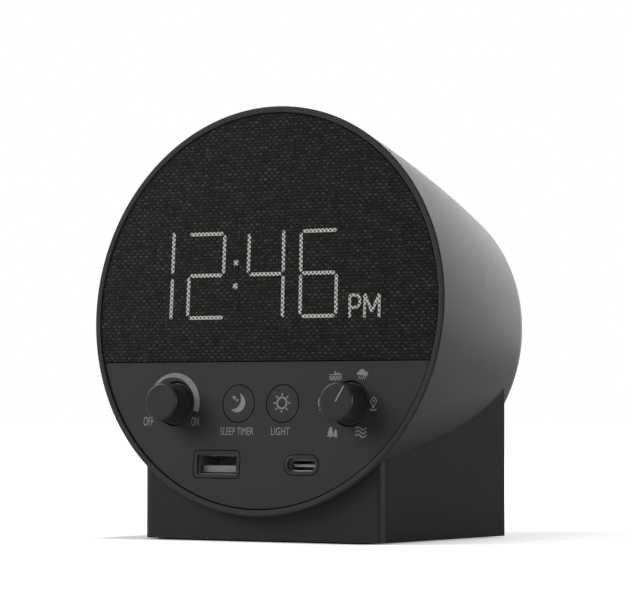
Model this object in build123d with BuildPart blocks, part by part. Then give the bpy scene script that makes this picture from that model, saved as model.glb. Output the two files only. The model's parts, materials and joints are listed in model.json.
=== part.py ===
from build123d import *
import os
from math import cos, radians, sin, sqrt

# White noise sound machine: a round tapered head that leans back in the saddle of a square stand.
# Millimetres, +Z up, the front faces -Y, and the origin is the centre of the foot pad's underside.
# Depths are measured back from the front plane of the head, square to its leaning face.

# ---------------------------------------------------------------- driving dimensions
# Head
head_front_d = 114.0
head_rear_d = 84.8
head_length = 72.3
head_bulge = 0.93  # how far the side stands out from one straight taper, halfway back
head_tapers = 3  # straight tapers that the bulged side is made of
head_tilt = 4.8  # degrees
head_lift = 7.1  # lowest point of the front ring above the floor
face_setback = 1.5  # centre of the face behind the front of the stand
shell_wall = 2.4
rear_edge = 0.6  # chamfer round the back

# Front ring and the ledge that it, the panel and the grille stand on
ring_width = 1.8
ring_nose = 0.9  # depth of the nose, which is two chamfers
ring_shoulder = (0.25, 0.32)  # where they meet: in from the outside, back from the front
seam_gap = 0.15
lip_wall = 1.15  # housing wall left outside the ring's skirt
ledge_depth = 3.0
ledge_width = 3.5  # from the outside of the head to the inside of the ledge

# Stand
stand_front_width = 78.2
stand_rear_width = 82.7
stand_depth = 64.3
stand_top = 48.0
stand_front_corner_r = 2.4
stand_rear_corner_r = 0.8
stand_wall = 2.2
stand_lift = 0.4  # shadow gap between the stand's walls and the floor
rebate_wall = 1.2  # wall left outside the base plate
plate_bottom = 1.0
plate_thickness = 2.0
plate_gap = 0.15
pad_side_margin = 5.1  # the pad stands in from the front corners and from the front and back
pad_end_margin = 5.15
pad_band = 6.0
pad_corner_r = 6.0
pad_inner_corner_r = 1.5
plate_screw_inset = (6.0, 5.0)  # in from the inside of the pad

# Control panel and grille
panel_recess = 0.5
split_y = -14.2  # line between the grille and the panel, on the face
cloth_thickness = 0.5
controls_y = -25.9
knob_x = 28.5
button_x = 7.2
ports_y = -42.75
usb_a_x = -13.6
usb_c_x = 14.1
slot_length = 9.0
slot_height = 1.8
slot_pitch = (11.5, 3.8)
slot_rows = 6
slots_rise = 3.0  # from the display's opening to the middle of the first row
grille_margin = 4.0

# Knobs
knob_front_d = 10.8
knob_taper = 0.6  # added to the diameter at the foot
knob_flange_step = 0.5
knob_height = 6.4
knob_sink = 1.6  # how far the flange goes into its hole
knob_flange_proud = 0.15
knob_hole_gap = 0.7  # the hole is wider than the flange
knob_edge = 0.7  # chamfer round the front
knob_bore_depth = 6.0
shaft_d = 6.0
shaft_flat = 1.5  # the flat's distance from the shaft's centre
shaft_reach = 4.0  # how far a shaft runs into its control
pointer_width = 0.55
pointer_length = 4.7
pointer_groove = 0.2
pointer_angle = 30.0  # degrees clockwise from straight up

# Buttons
button_d = 10.2
button_hole_d = 10.7
button_flange_size = 12.0
button_flange = 0.8
button_travel = 0.6
rear_button_d = 5.2
rear_button_hole_d = 5.6
rear_button_flange_size = 7.0
rear_button_proud = 0.5
rear_button_travel = 0.5
stem_size = 2.8
stem_reach = 1.0  # how far a stem stands in the well of its switch

# Switches and rotary controls
switch_size = 6.0
front_switch_height = 3.8
rear_switch_height = 3.5
control_length = 6.4
bushing_length = 1.6
bushing_wall = 1.2
volume_control_size = (9.8, 11.0)
selector_switch_size = (12.4, 12.4)

# Ports
usb_a_opening = (13.0, 5.4)
usb_a_shell_size = (13.1, 5.7)
usb_a_length = 13.0
usb_a_tongue_size = (11.1, 1.84)
usb_a_tongue_drop = 1.15
usb_a_tongue_setback = 0.9
usb_a_core = 3.0  # block that closes the back of the shell
usb_a_contact_size = (1.0, 6.5, 0.12)
usb_a_contact_x = (-3.5, -1.0, 1.0, 3.5)
usb_a_contact_setback = 1.25
usb_c_opening = (8.9, 3.3)
usb_c_shell_size = (8.94, 3.26)
usb_c_length = 7.4
usb_c_tongue_size = (6.7, 0.7)
usb_c_tongue_setback = 0.7
usb_c_core = 1.8
usb_c_leg_size = (1.0, 2.4)
usb_c_leg_x = 2.4
usb_c_leg_inset = 2.0  # from the back of the shell to a leg's middle
bezel_rim = 1.05
bezel_corner_r = 1.4
bezel_flange = 1.0
port_lip = 1.1  # bezel in front of the metal shell
port_hole_gap = 0.22
usb_board_gap = 0.5  # behind the flanges of the bezels
usb_board_depth = 13.0
usb_board_side = 2.9  # from a screw to the board's side
usb_screw_x = 22.6
usb_screw_inset = 4.5
usb_post_roof = 0.4
shell_metal = 0.3
dc_body = 9.0
dc_nose_d = 7.8
dc_socket_d = 5.7
dc_socket_depth = 8.6
dc_pin_d = 2.0
dc_pin_setback = 0.6
dc_nose_setback = 0.3
dc_nose_gap = 0.15

# Boards
board_thickness = 1.6
control_board_depth = 12.0
display_board_depth = 6.0
main_board_depth = 60.0
control_board_size = (74.0, 18.4)
control_board_rise = 0.3  # the board's middle above the controls
control_screw_x = 18.3
control_screw_above = 6.7
control_screw_below = 6.5
main_board_side_gap = 14.9  # from the side of the cover to the board
main_board_headroom = 10.5  # from the rear buttons to the board's top
main_board_clearance = 0.5  # corners to the shelf of the opening
main_board_screw_inset = (3.5, 3.0)
chip_height = 1.5
chips = ((10.0, 2.0, 10.0, 10.0), (-10.0, 4.0, 5.0, 6.0), (8.0, -15.0, 7.0, 7.0))  # x, y, width, height

# Display behind the cloth
display_x = 2.5
display_y = 9.75
display_width = 74.4
display_height = 29.9
display_front = 1.6
display_board_side = 4.4  # board on each side of the module
display_screw_side = 2.2
display_screw_y = 11.0
digit_width = 11.5
digit_half_height = 11.8
digit_centre_y = 9.95
digit_pitch = 17.3
last_digit_x = 17.1
colon_x = -10.0
colon_space = 2.65  # added between the hours and the minutes
segment_width = 0.9
segment_gap = 0.45
segment_proud = 0.3
colon_size = 1.3
colon_share = 0.28  # of the digit's half height, from its middle to a dot

# Speaker
speaker_y = 26.0
speaker_d = 45.0
speaker_hole_d = 37.0
speaker_flange = 1.2
cone_d = 29.0
cone_depth = 6.0
coil_d = 12.8
magnet_d = 31.0
surround_thickness = 0.8
cone_lap = 0.5  # of the cone behind the surround
cone_wall = 0.6
cone_cap = 1.5
speaker_screw_inset = 2.1
speaker_screw_angles = (45, 135, 225, 315)
speaker_sides = 24  # hidden behind the grille, so the round speaker is drawn with flat sides
magnet_setback = 9.0
magnet_length = 7.5
baffle_depth = 12.0
baffle_thickness = 2.4
baffle_boss_inset = 3.7  # centres of the baffle's bosses, in from the inside of the shell
baffle_drop = 1.7  # the baffle's straight edge above the split
baffle_boss_angles = (0, 62, 118, 180)
baffle_boss_length = 9.0

# Rear cover
cover_d = 79.8
cover_thickness = 2.4
cover_recess = 0.6
cover_shelf = 2.0
cover_gap = 0.15
cover_boss_inset = 3.7
shelf_length = 4.0  # from the cover's seat forwards to the thin wall
cover_boss_angles = (30, 150, 210, 330)
cover_boss_length = 11.0
rear_buttons_y = 12.0
rear_button_pitch = 12.0
dc_jack_y = -20.0

# Screws, with the bosses that hold them
small_screw_d = 1.8
small_head_d = 3.6
small_head = 1.3
large_screw_d = 2.8
large_head_d = 5.4
large_head = 1.2
boss_wall = 1.6
screw_sides = 6  # hidden screws, holes and bosses repeat, so they are plain six-sided forms
head_sides = 12  # screw heads that show, and their recesses
saddle_screw_insets = (36.3, 12.3)  # ahead of the stand's back, along the head
saddle_pad_drop = 3.31  # seats of the saddle screws below the head's underside at the front screw
saddle_head = 2.0
saddle_boss_extra = 1.0
saddle_boss_length = 8.53  # above the head's underside at the rear screw
saddle_screw_end = 2.8  # from a saddle screw's tip to the top of its boss
plate_screw_length = 6.0
cover_screw_length = 9.0
board_screw_length = 6.5
usb_screw_length = 4.2
display_screw_length = 5.4
baffle_screw_length = 9.0
speaker_screw_length = 3.4
speaker_head_d = 3.0
main_screw_length = 7.2
blind_end = 2.0  # boss left behind the end of a screw hole

# Clearances
fit_gap = 0.05  # fixed pieces that slide together
turn_gap = 0.05  # radial, round a piece that moves
loose_gap = 0.3  # pieces that only have to clear each other
saddle_gap = 0.1

# ---------------------------------------------------------------- derived places
head_front_r = head_front_d / 2
head_rear_r = head_rear_d / 2
tilt = radians(head_tilt)
face_y = face_setback - stand_depth / 2
face_height = head_lift + head_front_r * cos(tilt)
ring_inner_r = head_front_r - ring_width
panel_r = ring_inner_r - loose_gap
lip_inner_r = head_front_r - lip_wall
ledge_inner_r = head_front_r - ledge_width
frame_front = panel_recess + cloth_thickness
plate_top = plate_bottom + plate_thickness
cover_outer_depth = head_length - cover_recess
cover_inner_depth = cover_outer_depth - cover_thickness
main_board_back = main_board_depth + board_thickness
control_board_back = control_board_depth + board_thickness
display_board_back = display_board_depth + board_thickness
baffle_back = baffle_depth + baffle_thickness
knob_foot_d = knob_front_d + knob_taper
knob_flange_d = knob_foot_d + knob_flange_step
knob_hole_d = knob_flange_d + knob_hole_gap
saddle_screw_depths = [stand_depth - inset for inset in saddle_screw_insets]

FACE = Plane(origin=(0, face_y, face_height), x_dir=(1, 0, 0), z_dir=(0, -cos(tilt), sin(tilt)))


def behind(depth):
    """Plane parallel to the face and a depth behind it."""
    return FACE.offset(-depth)


def spot(x, y, depth):
    """Plane parallel to the face, centred on a point of it."""
    return Plane(origin=FACE.from_local_coords((x, y, -depth)), x_dir=FACE.x_dir, z_dir=FACE.z_dir)


def rear_spot(x, y, depth):
    """The same place, seen from the back."""
    return Plane(origin=FACE.from_local_coords((x, y, -depth)), x_dir=-FACE.x_dir, z_dir=-FACE.z_dir)


def lengthwise(x, y):
    """Plane through a point of the face whose own y runs straight back."""
    return Plane(origin=FACE.from_local_coords((x, y, 0)), x_dir=FACE.x_dir, z_dir=FACE.y_dir)


def head_axis(x=0.0, y=0.0):
    return Axis(FACE.from_local_coords((x, y, 0)), FACE.z_dir)


def on_circle(radius, angles):
    return [(radius * cos(radians(angle)), radius * sin(radians(angle))) for angle in angles]


def side_point(depth, inset=0.0):
    """Radius and depth of the head's side, less an inset."""
    share = depth / head_length
    straight = head_front_r + (head_rear_r - head_front_r) * share
    return straight + 4 * head_bulge * share * (1 - share) - inset, depth


def side_points(front, rear, tapers, inset=0.0):
    """The side's profile between two depths, as points joined by straight tapers."""
    step = (rear - front) / tapers
    return [side_point(front + step * i, inset) for i in range(tapers + 1)]


def underside_point(depth):
    """Place (y, z) of the head's lowest line at a depth."""
    radius = side_point(depth)[0]
    y = face_y + depth * cos(tilt) - radius * sin(tilt)
    z = face_height - depth * sin(tilt) - radius * cos(tilt)
    return y, z


def stand_outline(inset):
    """The stand's plan: straight front and back, with sides that spread towards the back."""
    spread = (stand_rear_width - stand_front_width) / 2 / stand_depth
    side_inset = inset * sqrt(1 + spread**2)
    half_depth = stand_depth / 2 - inset
    front = stand_front_width / 2 + spread * inset - side_inset
    rear = stand_rear_width / 2 - spread * inset - side_inset
    with BuildSketch() as plan:
        with BuildLine():
            front_corners = [(-front, -half_depth), (front, -half_depth)]
            rear_corners = [(rear, half_depth), (-rear, half_depth)]
            Polyline(*front_corners, *rear_corners, close=True)
        make_face()
        corners = plan.vertices().group_by(Axis.Y)
        if stand_front_corner_r > inset:
            fillet(corners[0], stand_front_corner_r - inset)
        if stand_rear_corner_r > inset:
            fillet(corners[-1], stand_rear_corner_r - inset)
    return plan.sketch


def head_envelope(clearance):
    """The head's outside as one solid, grown by a clearance and carried on past both ends."""
    overrun = 12.0
    sides = side_points(ring_nose + seam_gap, head_length, head_tapers, -clearance)
    with BuildPart() as envelope:
        with BuildSketch(lengthwise(0, 0)):
            with BuildLine():
                front_end = (head_front_r + clearance, -overrun)
                rear_end = (sides[-1][0], head_length + overrun)
                Polyline((0, -overrun), front_end, *sides, rear_end, (0, head_length + overrun), close=True)
            make_face()
        revolve(axis=head_axis())
    return envelope.part


def prism(diameter, mode=Mode.ADD):
    """Outline of a hidden screw, screw hole or boss."""
    return RegularPolygon(diameter / 2, screw_sides, mode=mode)


def head_prism(diameter, mode=Mode.ADD):
    """Outline of a screw head that shows, or of its recess."""
    return RegularPolygon(diameter / 2, head_sides, mode=mode)


def make_screws(seats, head_d, head_height, shank_d, length, head_shape=prism):
    """Screws, one on each seat plane: the head stands on it and the shank goes through it."""
    with BuildPart() as screws:
        for seat in seats:
            with BuildSketch(seat):
                head_shape(head_d)
            extrude(amount=head_height)
            with BuildSketch(seat):
                prism(shank_d)
            extrude(amount=-length)
    return screws.part


def make_switches(mouths, height, travel):
    """Square push switches, one behind each mouth plane, each with a well for the stem."""
    with BuildPart() as switches:
        for mouth in mouths:
            with BuildSketch(mouth):
                Rectangle(switch_size, switch_size)
            extrude(amount=-height)
            with BuildSketch(mouth):
                Rectangle(stem_size + 2 * turn_gap, stem_size + 2 * turn_gap)
            extrude(amount=-(stem_reach + travel + loose_gap), mode=Mode.SUBTRACT)
    return switches.part


def make_button(cap_front, cap_length, cap_d, flange_size, stem_length):
    """Round button behind its front plane: the cap, the square flange that holds it in, and the stem."""
    with BuildPart() as button:
        with BuildSketch(cap_front):
            Circle(cap_d / 2)
        extrude(amount=-cap_length)
        with BuildSketch(cap_front.offset(-cap_length)):
            Rectangle(flange_size, flange_size)
        extrude(amount=-button_flange)
        with BuildSketch(cap_front.offset(-cap_length - button_flange)):
            Rectangle(stem_size, stem_size)
        extrude(amount=-stem_length)
    return button.part


def make_knob(x):
    """Solid knob with a flange that sinks into the panel and a D bore for its shaft."""
    tip = panel_recess - knob_height
    foot = panel_recess + knob_sink
    flange_front = panel_recess - knob_flange_proud
    with BuildPart() as knob:
        with BuildSketch(lengthwise(x, controls_y)):
            with BuildLine():
                Polyline(
                    (0, tip),
                    (knob_front_d / 2 - knob_edge, tip),
                    (knob_front_d / 2, tip + knob_edge),
                    (knob_foot_d / 2, flange_front),
                    (knob_flange_d / 2, flange_front),
                    (knob_flange_d / 2, foot),
                    (0, foot),
                    close=True,
                )
            make_face()
        revolve(axis=head_axis(x, controls_y))
        with BuildSketch(spot(x, controls_y, foot)):
            Circle(shaft_d / 2 + fit_gap)
            with Locations((0, shaft_flat + fit_gap + shaft_d / 2)):
                Rectangle(shaft_d * 2, shaft_d, mode=Mode.SUBTRACT)
        extrude(amount=knob_bore_depth, mode=Mode.SUBTRACT)
    return knob.part


def make_shaft(x):
    """Control shaft: round in the control's bushing, with a flat inside the knob."""
    foot = panel_recess + knob_sink
    front = foot - knob_bore_depth + loose_gap
    rear = control_board_depth - control_length + shaft_reach
    with BuildPart() as shaft:
        with BuildSketch(spot(x, controls_y, front)):
            Circle(shaft_d / 2)
            with Locations((0, shaft_flat + shaft_d / 2)):
                Rectangle(shaft_d * 2, shaft_d, mode=Mode.SUBTRACT)
        extrude(amount=front - foot)
        with BuildSketch(spot(x, controls_y, foot)):
            Circle(shaft_d / 2)
        extrude(amount=foot - rear)
    return shaft.part


def make_control(x, width, height):
    """Rotary control on the board, with its bushing towards the panel."""
    body_front = control_board_depth - control_length
    with BuildPart() as control:
        with BuildSketch(spot(x, controls_y, body_front)):
            Rectangle(width, height)
        extrude(amount=-control_length)
        with BuildSketch(spot(x, controls_y, body_front)):
            Circle(shaft_d / 2 + bushing_wall)
        extrude(amount=bushing_length)
        with BuildSketch(spot(x, controls_y, body_front - bushing_length)):
            Circle(shaft_d / 2 + turn_gap)
        extrude(amount=-(bushing_length + shaft_reach + loose_gap), mode=Mode.SUBTRACT)
    return control.part


def segment_bars():
    """Centre, width and height of each bar of the four-digit clock, on the face."""
    long_bar = digit_half_height - segment_width - segment_gap
    wide_bar = digit_width - segment_width - segment_gap
    digits = [last_digit_x, last_digit_x - digit_pitch, last_digit_x - 2 * digit_pitch - colon_space]
    first_digit = digits[-1] - digit_pitch
    bars = []
    for level in (-1, 1):
        y = digit_centre_y + level * digit_half_height / 2
        dot_y = digit_centre_y + level * digit_half_height * colon_share
        bars.append((first_digit + digit_width / 2, y, segment_width, long_bar))
        bars.append((colon_x, dot_y, colon_size, colon_size))
        for x in digits:
            bars.append((x - digit_width / 2, y, segment_width, long_bar))
            bars.append((x + digit_width / 2, y, segment_width, long_bar))
    for x in digits:
        for level in (-1, 0, 1):
            bars.append((x, digit_centre_y + level * digit_half_height, wide_bar, segment_width))
    return bars


os.makedirs("parts", exist_ok=True)

# ---------------------------------------------------------------- stand
pad_length = stand_front_width - 2 * pad_side_margin
pad_depth = stand_depth - 2 * pad_end_margin
plate_screw_x = pad_length / 2 - pad_band - plate_screw_inset[0]
plate_screw_y = pad_depth / 2 - pad_band - plate_screw_inset[1]
plate_screw_points = []
for x in (-plate_screw_x, plate_screw_x):
    for y in (-plate_screw_y, plate_screw_y):
        plate_screw_points.append((x, y))
saddle_points = [underside_point(depth) for depth in saddle_screw_depths]
saddle_pad_z = saddle_points[0][1] - saddle_pad_drop
saddle_boss_top = saddle_points[-1][1] + saddle_boss_length
large_hole_d = large_screw_d + 2 * fit_gap
small_hole_d = small_screw_d + 2 * fit_gap
large_boss_d = large_screw_d + 2 * boss_wall
small_boss_d = small_screw_d + 2 * boss_wall

with BuildPart() as stand_cavity:
    with BuildSketch(Plane.XY.offset(plate_top)):
        add(stand_outline(stand_wall))
    extrude(amount=stand_top)
    add(head_envelope(saddle_gap + stand_wall), mode=Mode.SUBTRACT)
    with BuildSketch(Plane.XY.offset(plate_top)):
        with Locations(*plate_screw_points):
            prism(large_boss_d)
    extrude(amount=stand_top, mode=Mode.SUBTRACT)
    with BuildSketch(Plane.XY.offset(saddle_pad_z)):
        with Locations(*[(0, y) for y, z in saddle_points]):
            prism(large_head_d + 2 * boss_wall)
    extrude(amount=stand_top, mode=Mode.SUBTRACT)
    with BuildSketch(Plane.XY):
        add(stand_outline(rebate_wall))
    extrude(amount=plate_top)

with BuildPart() as stand_base:
    with BuildSketch(Plane.XY.offset(stand_lift)):
        add(stand_outline(0))
    extrude(amount=stand_top - stand_lift)
    add(head_envelope(saddle_gap), mode=Mode.SUBTRACT)
    add(stand_cavity.part, mode=Mode.SUBTRACT)
    with BuildSketch(Plane.XY):
        with Locations(*[(0, y) for y, z in saddle_points]):
            prism(large_hole_d)
    extrude(amount=stand_top, mode=Mode.SUBTRACT)
    with BuildSketch(Plane.XY):
        with Locations(*plate_screw_points):
            prism(large_hole_d)
    extrude(amount=plate_top + plate_screw_length, mode=Mode.SUBTRACT)
stand_base.part.label = "stand_base"
export_step(stand_base.part, "parts/stand_base.step")

with BuildPart() as base_plate:
    with BuildSketch(Plane.XY.offset(plate_bottom)):
        add(stand_outline(rebate_wall + plate_gap))
        with Locations(*plate_screw_points):
            head_prism(large_head_d + 2 * fit_gap, Mode.SUBTRACT)
    extrude(amount=large_head)
    with BuildSketch(Plane.XY.offset(plate_bottom + large_head)):
        add(stand_outline(rebate_wall + plate_gap))
        with Locations(*plate_screw_points):
            prism(large_hole_d, Mode.SUBTRACT)
    extrude(amount=plate_thickness - large_head)
base_plate.part.label = "base_plate"
export_step(base_plate.part, "parts/base_plate.step")

with BuildPart() as foot_pad:
    with BuildSketch(Plane.XY):
        RectangleRounded(pad_length, pad_depth, pad_corner_r)
        pad_inside = (pad_length - 2 * pad_band, pad_depth - 2 * pad_band)
        RectangleRounded(*pad_inside, pad_inner_corner_r, mode=Mode.SUBTRACT)
    extrude(amount=plate_bottom)
foot_pad.part.label = "foot_pad"
export_step(foot_pad.part, "parts/foot_pad.step")

plate_seats = []
for x, y in plate_screw_points:
    plate_seats.append(Plane(origin=(x, y, plate_bottom + large_head), x_dir=(1, 0, 0), z_dir=(0, 0, -1)))
base_plate_screws = make_screws(
    plate_seats, large_head_d, large_head, large_screw_d, plate_screw_length, head_prism
)
base_plate_screws.label = "base_plate_screws"
export_step(base_plate_screws, "parts/base_plate_screws.step")

saddle_seats = []
for y, z in saddle_points:
    saddle_seats.append(Plane(origin=(0, y, saddle_pad_z), x_dir=(1, 0, 0), z_dir=(0, 0, -1)))
saddle_screw_length = saddle_boss_top - saddle_screw_end - saddle_pad_z
saddle_screws = make_screws(saddle_seats, large_head_d, saddle_head, large_screw_d, saddle_screw_length)
saddle_screws.label = "saddle_screws"
export_step(saddle_screws, "parts/saddle_screws.step")

# ---------------------------------------------------------------- head shell
opening_r = cover_d / 2 + cover_gap
shelf_r = opening_r - cover_shelf
baffle_boss_r = side_point(baffle_back, shell_wall)[0] - baffle_boss_inset
cover_boss_r = cover_d / 2 - cover_boss_inset
baffle_bosses = on_circle(baffle_boss_r, baffle_boss_angles)
cover_bosses = on_circle(cover_boss_r, cover_boss_angles)

with BuildPart() as housing:
    with BuildSketch(lengthwise(0, 0)):
        with BuildLine():
            rim_front = ring_nose + seam_gap
            outer = side_points(rim_front, head_length, head_tapers)
            inner = side_points(ledge_depth, cover_inner_depth - shelf_length, 2, shell_wall)
            back_edge = [(outer[-1][0] - rear_edge, head_length), (opening_r, head_length)]
            seat = [(opening_r, cover_inner_depth), (shelf_r, cover_inner_depth)]
            ledge = [(ledge_inner_r, ledge_depth), (lip_inner_r, ledge_depth), (lip_inner_r, rim_front)]
            rear_side = side_point(head_length - rear_edge)
            Polyline(*outer[:-1], rear_side, *back_edge, *seat, *inner[:0:-1], *ledge, close=True)
        make_face()
    revolve(axis=head_axis())
    for radius, angles, depth, boss_d, length in (
        (baffle_boss_r, baffle_boss_angles, baffle_back, small_boss_d, -baffle_boss_length),
        (cover_boss_r, cover_boss_angles, cover_inner_depth, large_boss_d, cover_boss_length),
    ):
        reach = side_point(depth, shell_wall)[0] - radius + loose_gap
        with BuildSketch(behind(depth)):
            with Locations(*on_circle(radius, angles)):
                prism(boss_d)
            for angle in angles:
                with PolarLocations(radius + reach / 2, 1, angle):
                    Rectangle(reach, boss_wall)
        extrude(amount=length)
    for y, z in saddle_points:
        with BuildSketch(Plane.XY.offset(z + shell_wall / 2)):
            with Locations((0, y)):
                prism(large_boss_d + saddle_boss_extra)
        extrude(amount=saddle_boss_top - z - shell_wall / 2)
        with BuildSketch(Plane.XY.offset(z - shell_wall)):
            with Locations((0, y)):
                prism(large_hole_d)
        extrude(amount=saddle_boss_top - blind_end - z + shell_wall, mode=Mode.SUBTRACT)
    with BuildSketch(behind(baffle_back)):
        with Locations(*baffle_bosses):
            prism(small_hole_d)
    extrude(amount=-(baffle_boss_length - blind_end), mode=Mode.SUBTRACT)
    with BuildSketch(behind(cover_inner_depth)):
        with Locations(*cover_bosses):
            prism(large_hole_d)
    extrude(amount=cover_boss_length - blind_end, mode=Mode.SUBTRACT)
housing.part.label = "housing"
export_step(housing.part, "parts/housing.step")

with BuildPart() as front_ring:
    with BuildSketch(lengthwise(0, 0)):
        with BuildLine():
            skirt_r = lip_inner_r - fit_gap
            crown = [(ring_inner_r, 0), (head_front_r - ring_nose, 0)]
            shoulder = [(head_front_r - ring_shoulder[0], ring_shoulder[1]), (head_front_r, ring_nose)]
            skirt = [(skirt_r, ring_nose), (skirt_r, ledge_depth), (ring_inner_r, ledge_depth)]
            Polyline(*crown, *shoulder, *skirt, close=True)
        make_face()
    revolve(axis=head_axis())
front_ring.part.label = "front_ring"
export_step(front_ring.part, "parts/front_ring.step")

# ---------------------------------------------------------------- rear cover
main_board_width = cover_d - 2 * main_board_side_gap
main_board_top = rear_buttons_y + main_board_headroom
main_board_bottom = -sqrt((shelf_r - main_board_clearance) ** 2 - (main_board_width / 2) ** 2)
main_screw_x = main_board_width / 2 - main_board_screw_inset[0]
main_screw_ys = (main_board_bottom + main_board_screw_inset[1], main_board_top - main_board_screw_inset[1])
main_board_screw_points = [(x, y) for x in (-main_screw_x, main_screw_x) for y in main_screw_ys]
rear_button_points = [(x, rear_buttons_y) for x in (-rear_button_pitch, 0, rear_button_pitch)]

with BuildPart() as rear_cover:
    with BuildSketch(behind(cover_inner_depth)):
        Circle(cover_d / 2)
    extrude(amount=-cover_thickness)
    with BuildSketch(behind(cover_inner_depth)):
        with Locations(*main_board_screw_points):
            prism(small_boss_d)
    extrude(amount=cover_inner_depth - main_board_back)
    with BuildSketch(behind(main_board_back)):
        with Locations(*main_board_screw_points):
            prism(small_hole_d)
    extrude(amount=board_thickness - main_screw_length, mode=Mode.SUBTRACT)
    with BuildSketch(behind(cover_outer_depth)):
        with Locations(*rear_button_points):
            Circle(rear_button_hole_d / 2)
        with Locations((0, dc_jack_y)):
            Circle(dc_nose_d / 2 + dc_nose_gap)
        with Locations(*cover_bosses):
            prism(large_hole_d)
    extrude(amount=cover_thickness, mode=Mode.SUBTRACT)
    with BuildSketch(behind(cover_outer_depth)):
        with Locations(*cover_bosses):
            head_prism(large_head_d + 2 * fit_gap)
    extrude(amount=large_head, mode=Mode.SUBTRACT)
rear_cover.part.label = "rear_cover"
export_step(rear_cover.part, "parts/rear_cover.step")

cover_seats = [rear_spot(x, y, cover_outer_depth - large_head) for x, y in cover_bosses]
rear_cover_screws = make_screws(
    cover_seats, large_head_d, large_head, large_screw_d, cover_screw_length, head_prism
)
rear_cover_screws.label = "rear_cover_screws"
export_step(rear_cover_screws, "parts/rear_cover_screws.step")

# ---------------------------------------------------------------- grille
frame_bottom = split_y + loose_gap / 2
slots_bottom = display_y + display_height / 2 + slots_rise

with BuildPart() as grille_frame:
    with BuildSketch(behind(frame_front)):
        Circle(panel_r)
        with Locations((0, frame_bottom - panel_r)):
            Rectangle(panel_r * 2, panel_r * 2, mode=Mode.SUBTRACT)
        with Locations((display_x, display_y)):
            Rectangle(display_width + 2 * loose_gap, display_height + 2 * loose_gap, mode=Mode.SUBTRACT)
        for row in range(slot_rows):
            y = slots_bottom + row * slot_pitch[1]
            chord = 2 * sqrt((panel_r - grille_margin) ** 2 - y**2)
            with Locations((0, y)):
                with GridLocations(slot_pitch[0], 1, int(chord // slot_pitch[0]), 1):
                    Rectangle(slot_length, slot_height, mode=Mode.SUBTRACT)
    extrude(amount=frame_front - ledge_depth)
grille_frame.part.label = "grille_frame"
export_step(grille_frame.part, "parts/grille_frame.step")

with BuildPart() as grille_cloth:
    with BuildSketch(behind(panel_recess)):
        Circle(panel_r)
        with Locations((0, frame_bottom - panel_r)):
            Rectangle(panel_r * 2, panel_r * 2, mode=Mode.SUBTRACT)
    extrude(amount=-cloth_thickness)
grille_cloth.part.label = "grille_cloth"
export_step(grille_cloth.part, "parts/grille_cloth.step")

# ---------------------------------------------------------------- control panel
panel_top = split_y - loose_gap / 2
control_screw_ys = (controls_y + control_screw_above, controls_y - control_screw_below)
control_screw_points = [(x, y) for x in (-control_screw_x, control_screw_x) for y in control_screw_ys]
port_hole_rim = bezel_rim + port_hole_gap
usb_a_hole = (usb_a_opening[0] + 2 * port_hole_rim, usb_a_opening[1] + 2 * port_hole_rim)
usb_c_hole = (usb_c_opening[0] + 2 * port_hole_rim, usb_c_opening[1] + 2 * port_hole_rim)
usb_board_bottom = ports_y + usb_a_shell_size[1] / 2
usb_board_top = usb_board_bottom + board_thickness
control_board_bottom = controls_y + control_board_rise - control_board_size[1] / 2
usb_post_height = control_board_bottom - loose_gap - usb_board_top
bezel_back = ledge_depth + bezel_flange
shell_front = panel_recess + port_lip
usb_board_front = bezel_back + usb_board_gap
usb_screw_points = [(x, usb_board_front + usb_screw_inset) for x in (-usb_screw_x, usb_screw_x)]

with BuildPart() as control_panel:
    with BuildSketch(behind(panel_recess)):
        Circle(panel_r)
        with Locations((0, panel_top + panel_r)):
            Rectangle(panel_r * 2, panel_r * 2, mode=Mode.SUBTRACT)
        with Locations((-knob_x, controls_y), (knob_x, controls_y)):
            Circle(knob_hole_d / 2, mode=Mode.SUBTRACT)
        with Locations((-button_x, controls_y), (button_x, controls_y)):
            Circle(button_hole_d / 2, mode=Mode.SUBTRACT)
        with Locations((usb_a_x, ports_y)):
            RectangleRounded(*usb_a_hole, bezel_corner_r + port_hole_gap, mode=Mode.SUBTRACT)
        with Locations((usb_c_x, ports_y)):
            SlotOverall(*usb_c_hole, mode=Mode.SUBTRACT)
    extrude(amount=panel_recess - ledge_depth)
    with BuildSketch(behind(ledge_depth)):
        with Locations(*control_screw_points):
            prism(small_boss_d)
    extrude(amount=ledge_depth - control_board_depth)
    with BuildSketch(lengthwise(0, usb_board_top)):
        for x, depth in usb_screw_points:
            with Locations((x, ledge_depth)):
                shelf_length = depth + small_boss_d / 2 - ledge_depth
                Rectangle(small_boss_d, shelf_length, align=(Align.CENTER, Align.MIN))
    extrude(amount=usb_post_height)
    with BuildSketch(lengthwise(0, usb_board_top)):
        with Locations(*usb_screw_points):
            prism(small_hole_d)
    extrude(amount=usb_post_height - usb_post_roof, mode=Mode.SUBTRACT)
    with BuildSketch(behind(control_board_depth)):
        with Locations(*control_screw_points):
            prism(small_hole_d)
    extrude(amount=board_screw_length - board_thickness + loose_gap, mode=Mode.SUBTRACT)
control_panel.part.label = "control_panel"
export_step(control_panel.part, "parts/control_panel.step")

# ---------------------------------------------------------------- knobs and their controls
volume_knob = make_knob(-knob_x)
volume_knob.label = "volume_knob"
export_step(volume_knob, "parts/volume_knob.step")

with BuildPart() as selector_knob:
    add(make_knob(knob_x))
    with BuildSketch(spot(knob_x, controls_y, panel_recess - knob_height)):
        with Locations(Location((0, 0), -pointer_angle)):
            Rectangle(pointer_width, pointer_length, align=(Align.CENTER, Align.MIN))
    extrude(amount=-pointer_groove, mode=Mode.SUBTRACT)
selector_knob.part.label = "selector_knob"
export_step(selector_knob.part, "parts/selector_knob.step")

volume_shaft = make_shaft(-knob_x)
volume_shaft.label = "volume_shaft"
export_step(volume_shaft, "parts/volume_shaft.step")

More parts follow.
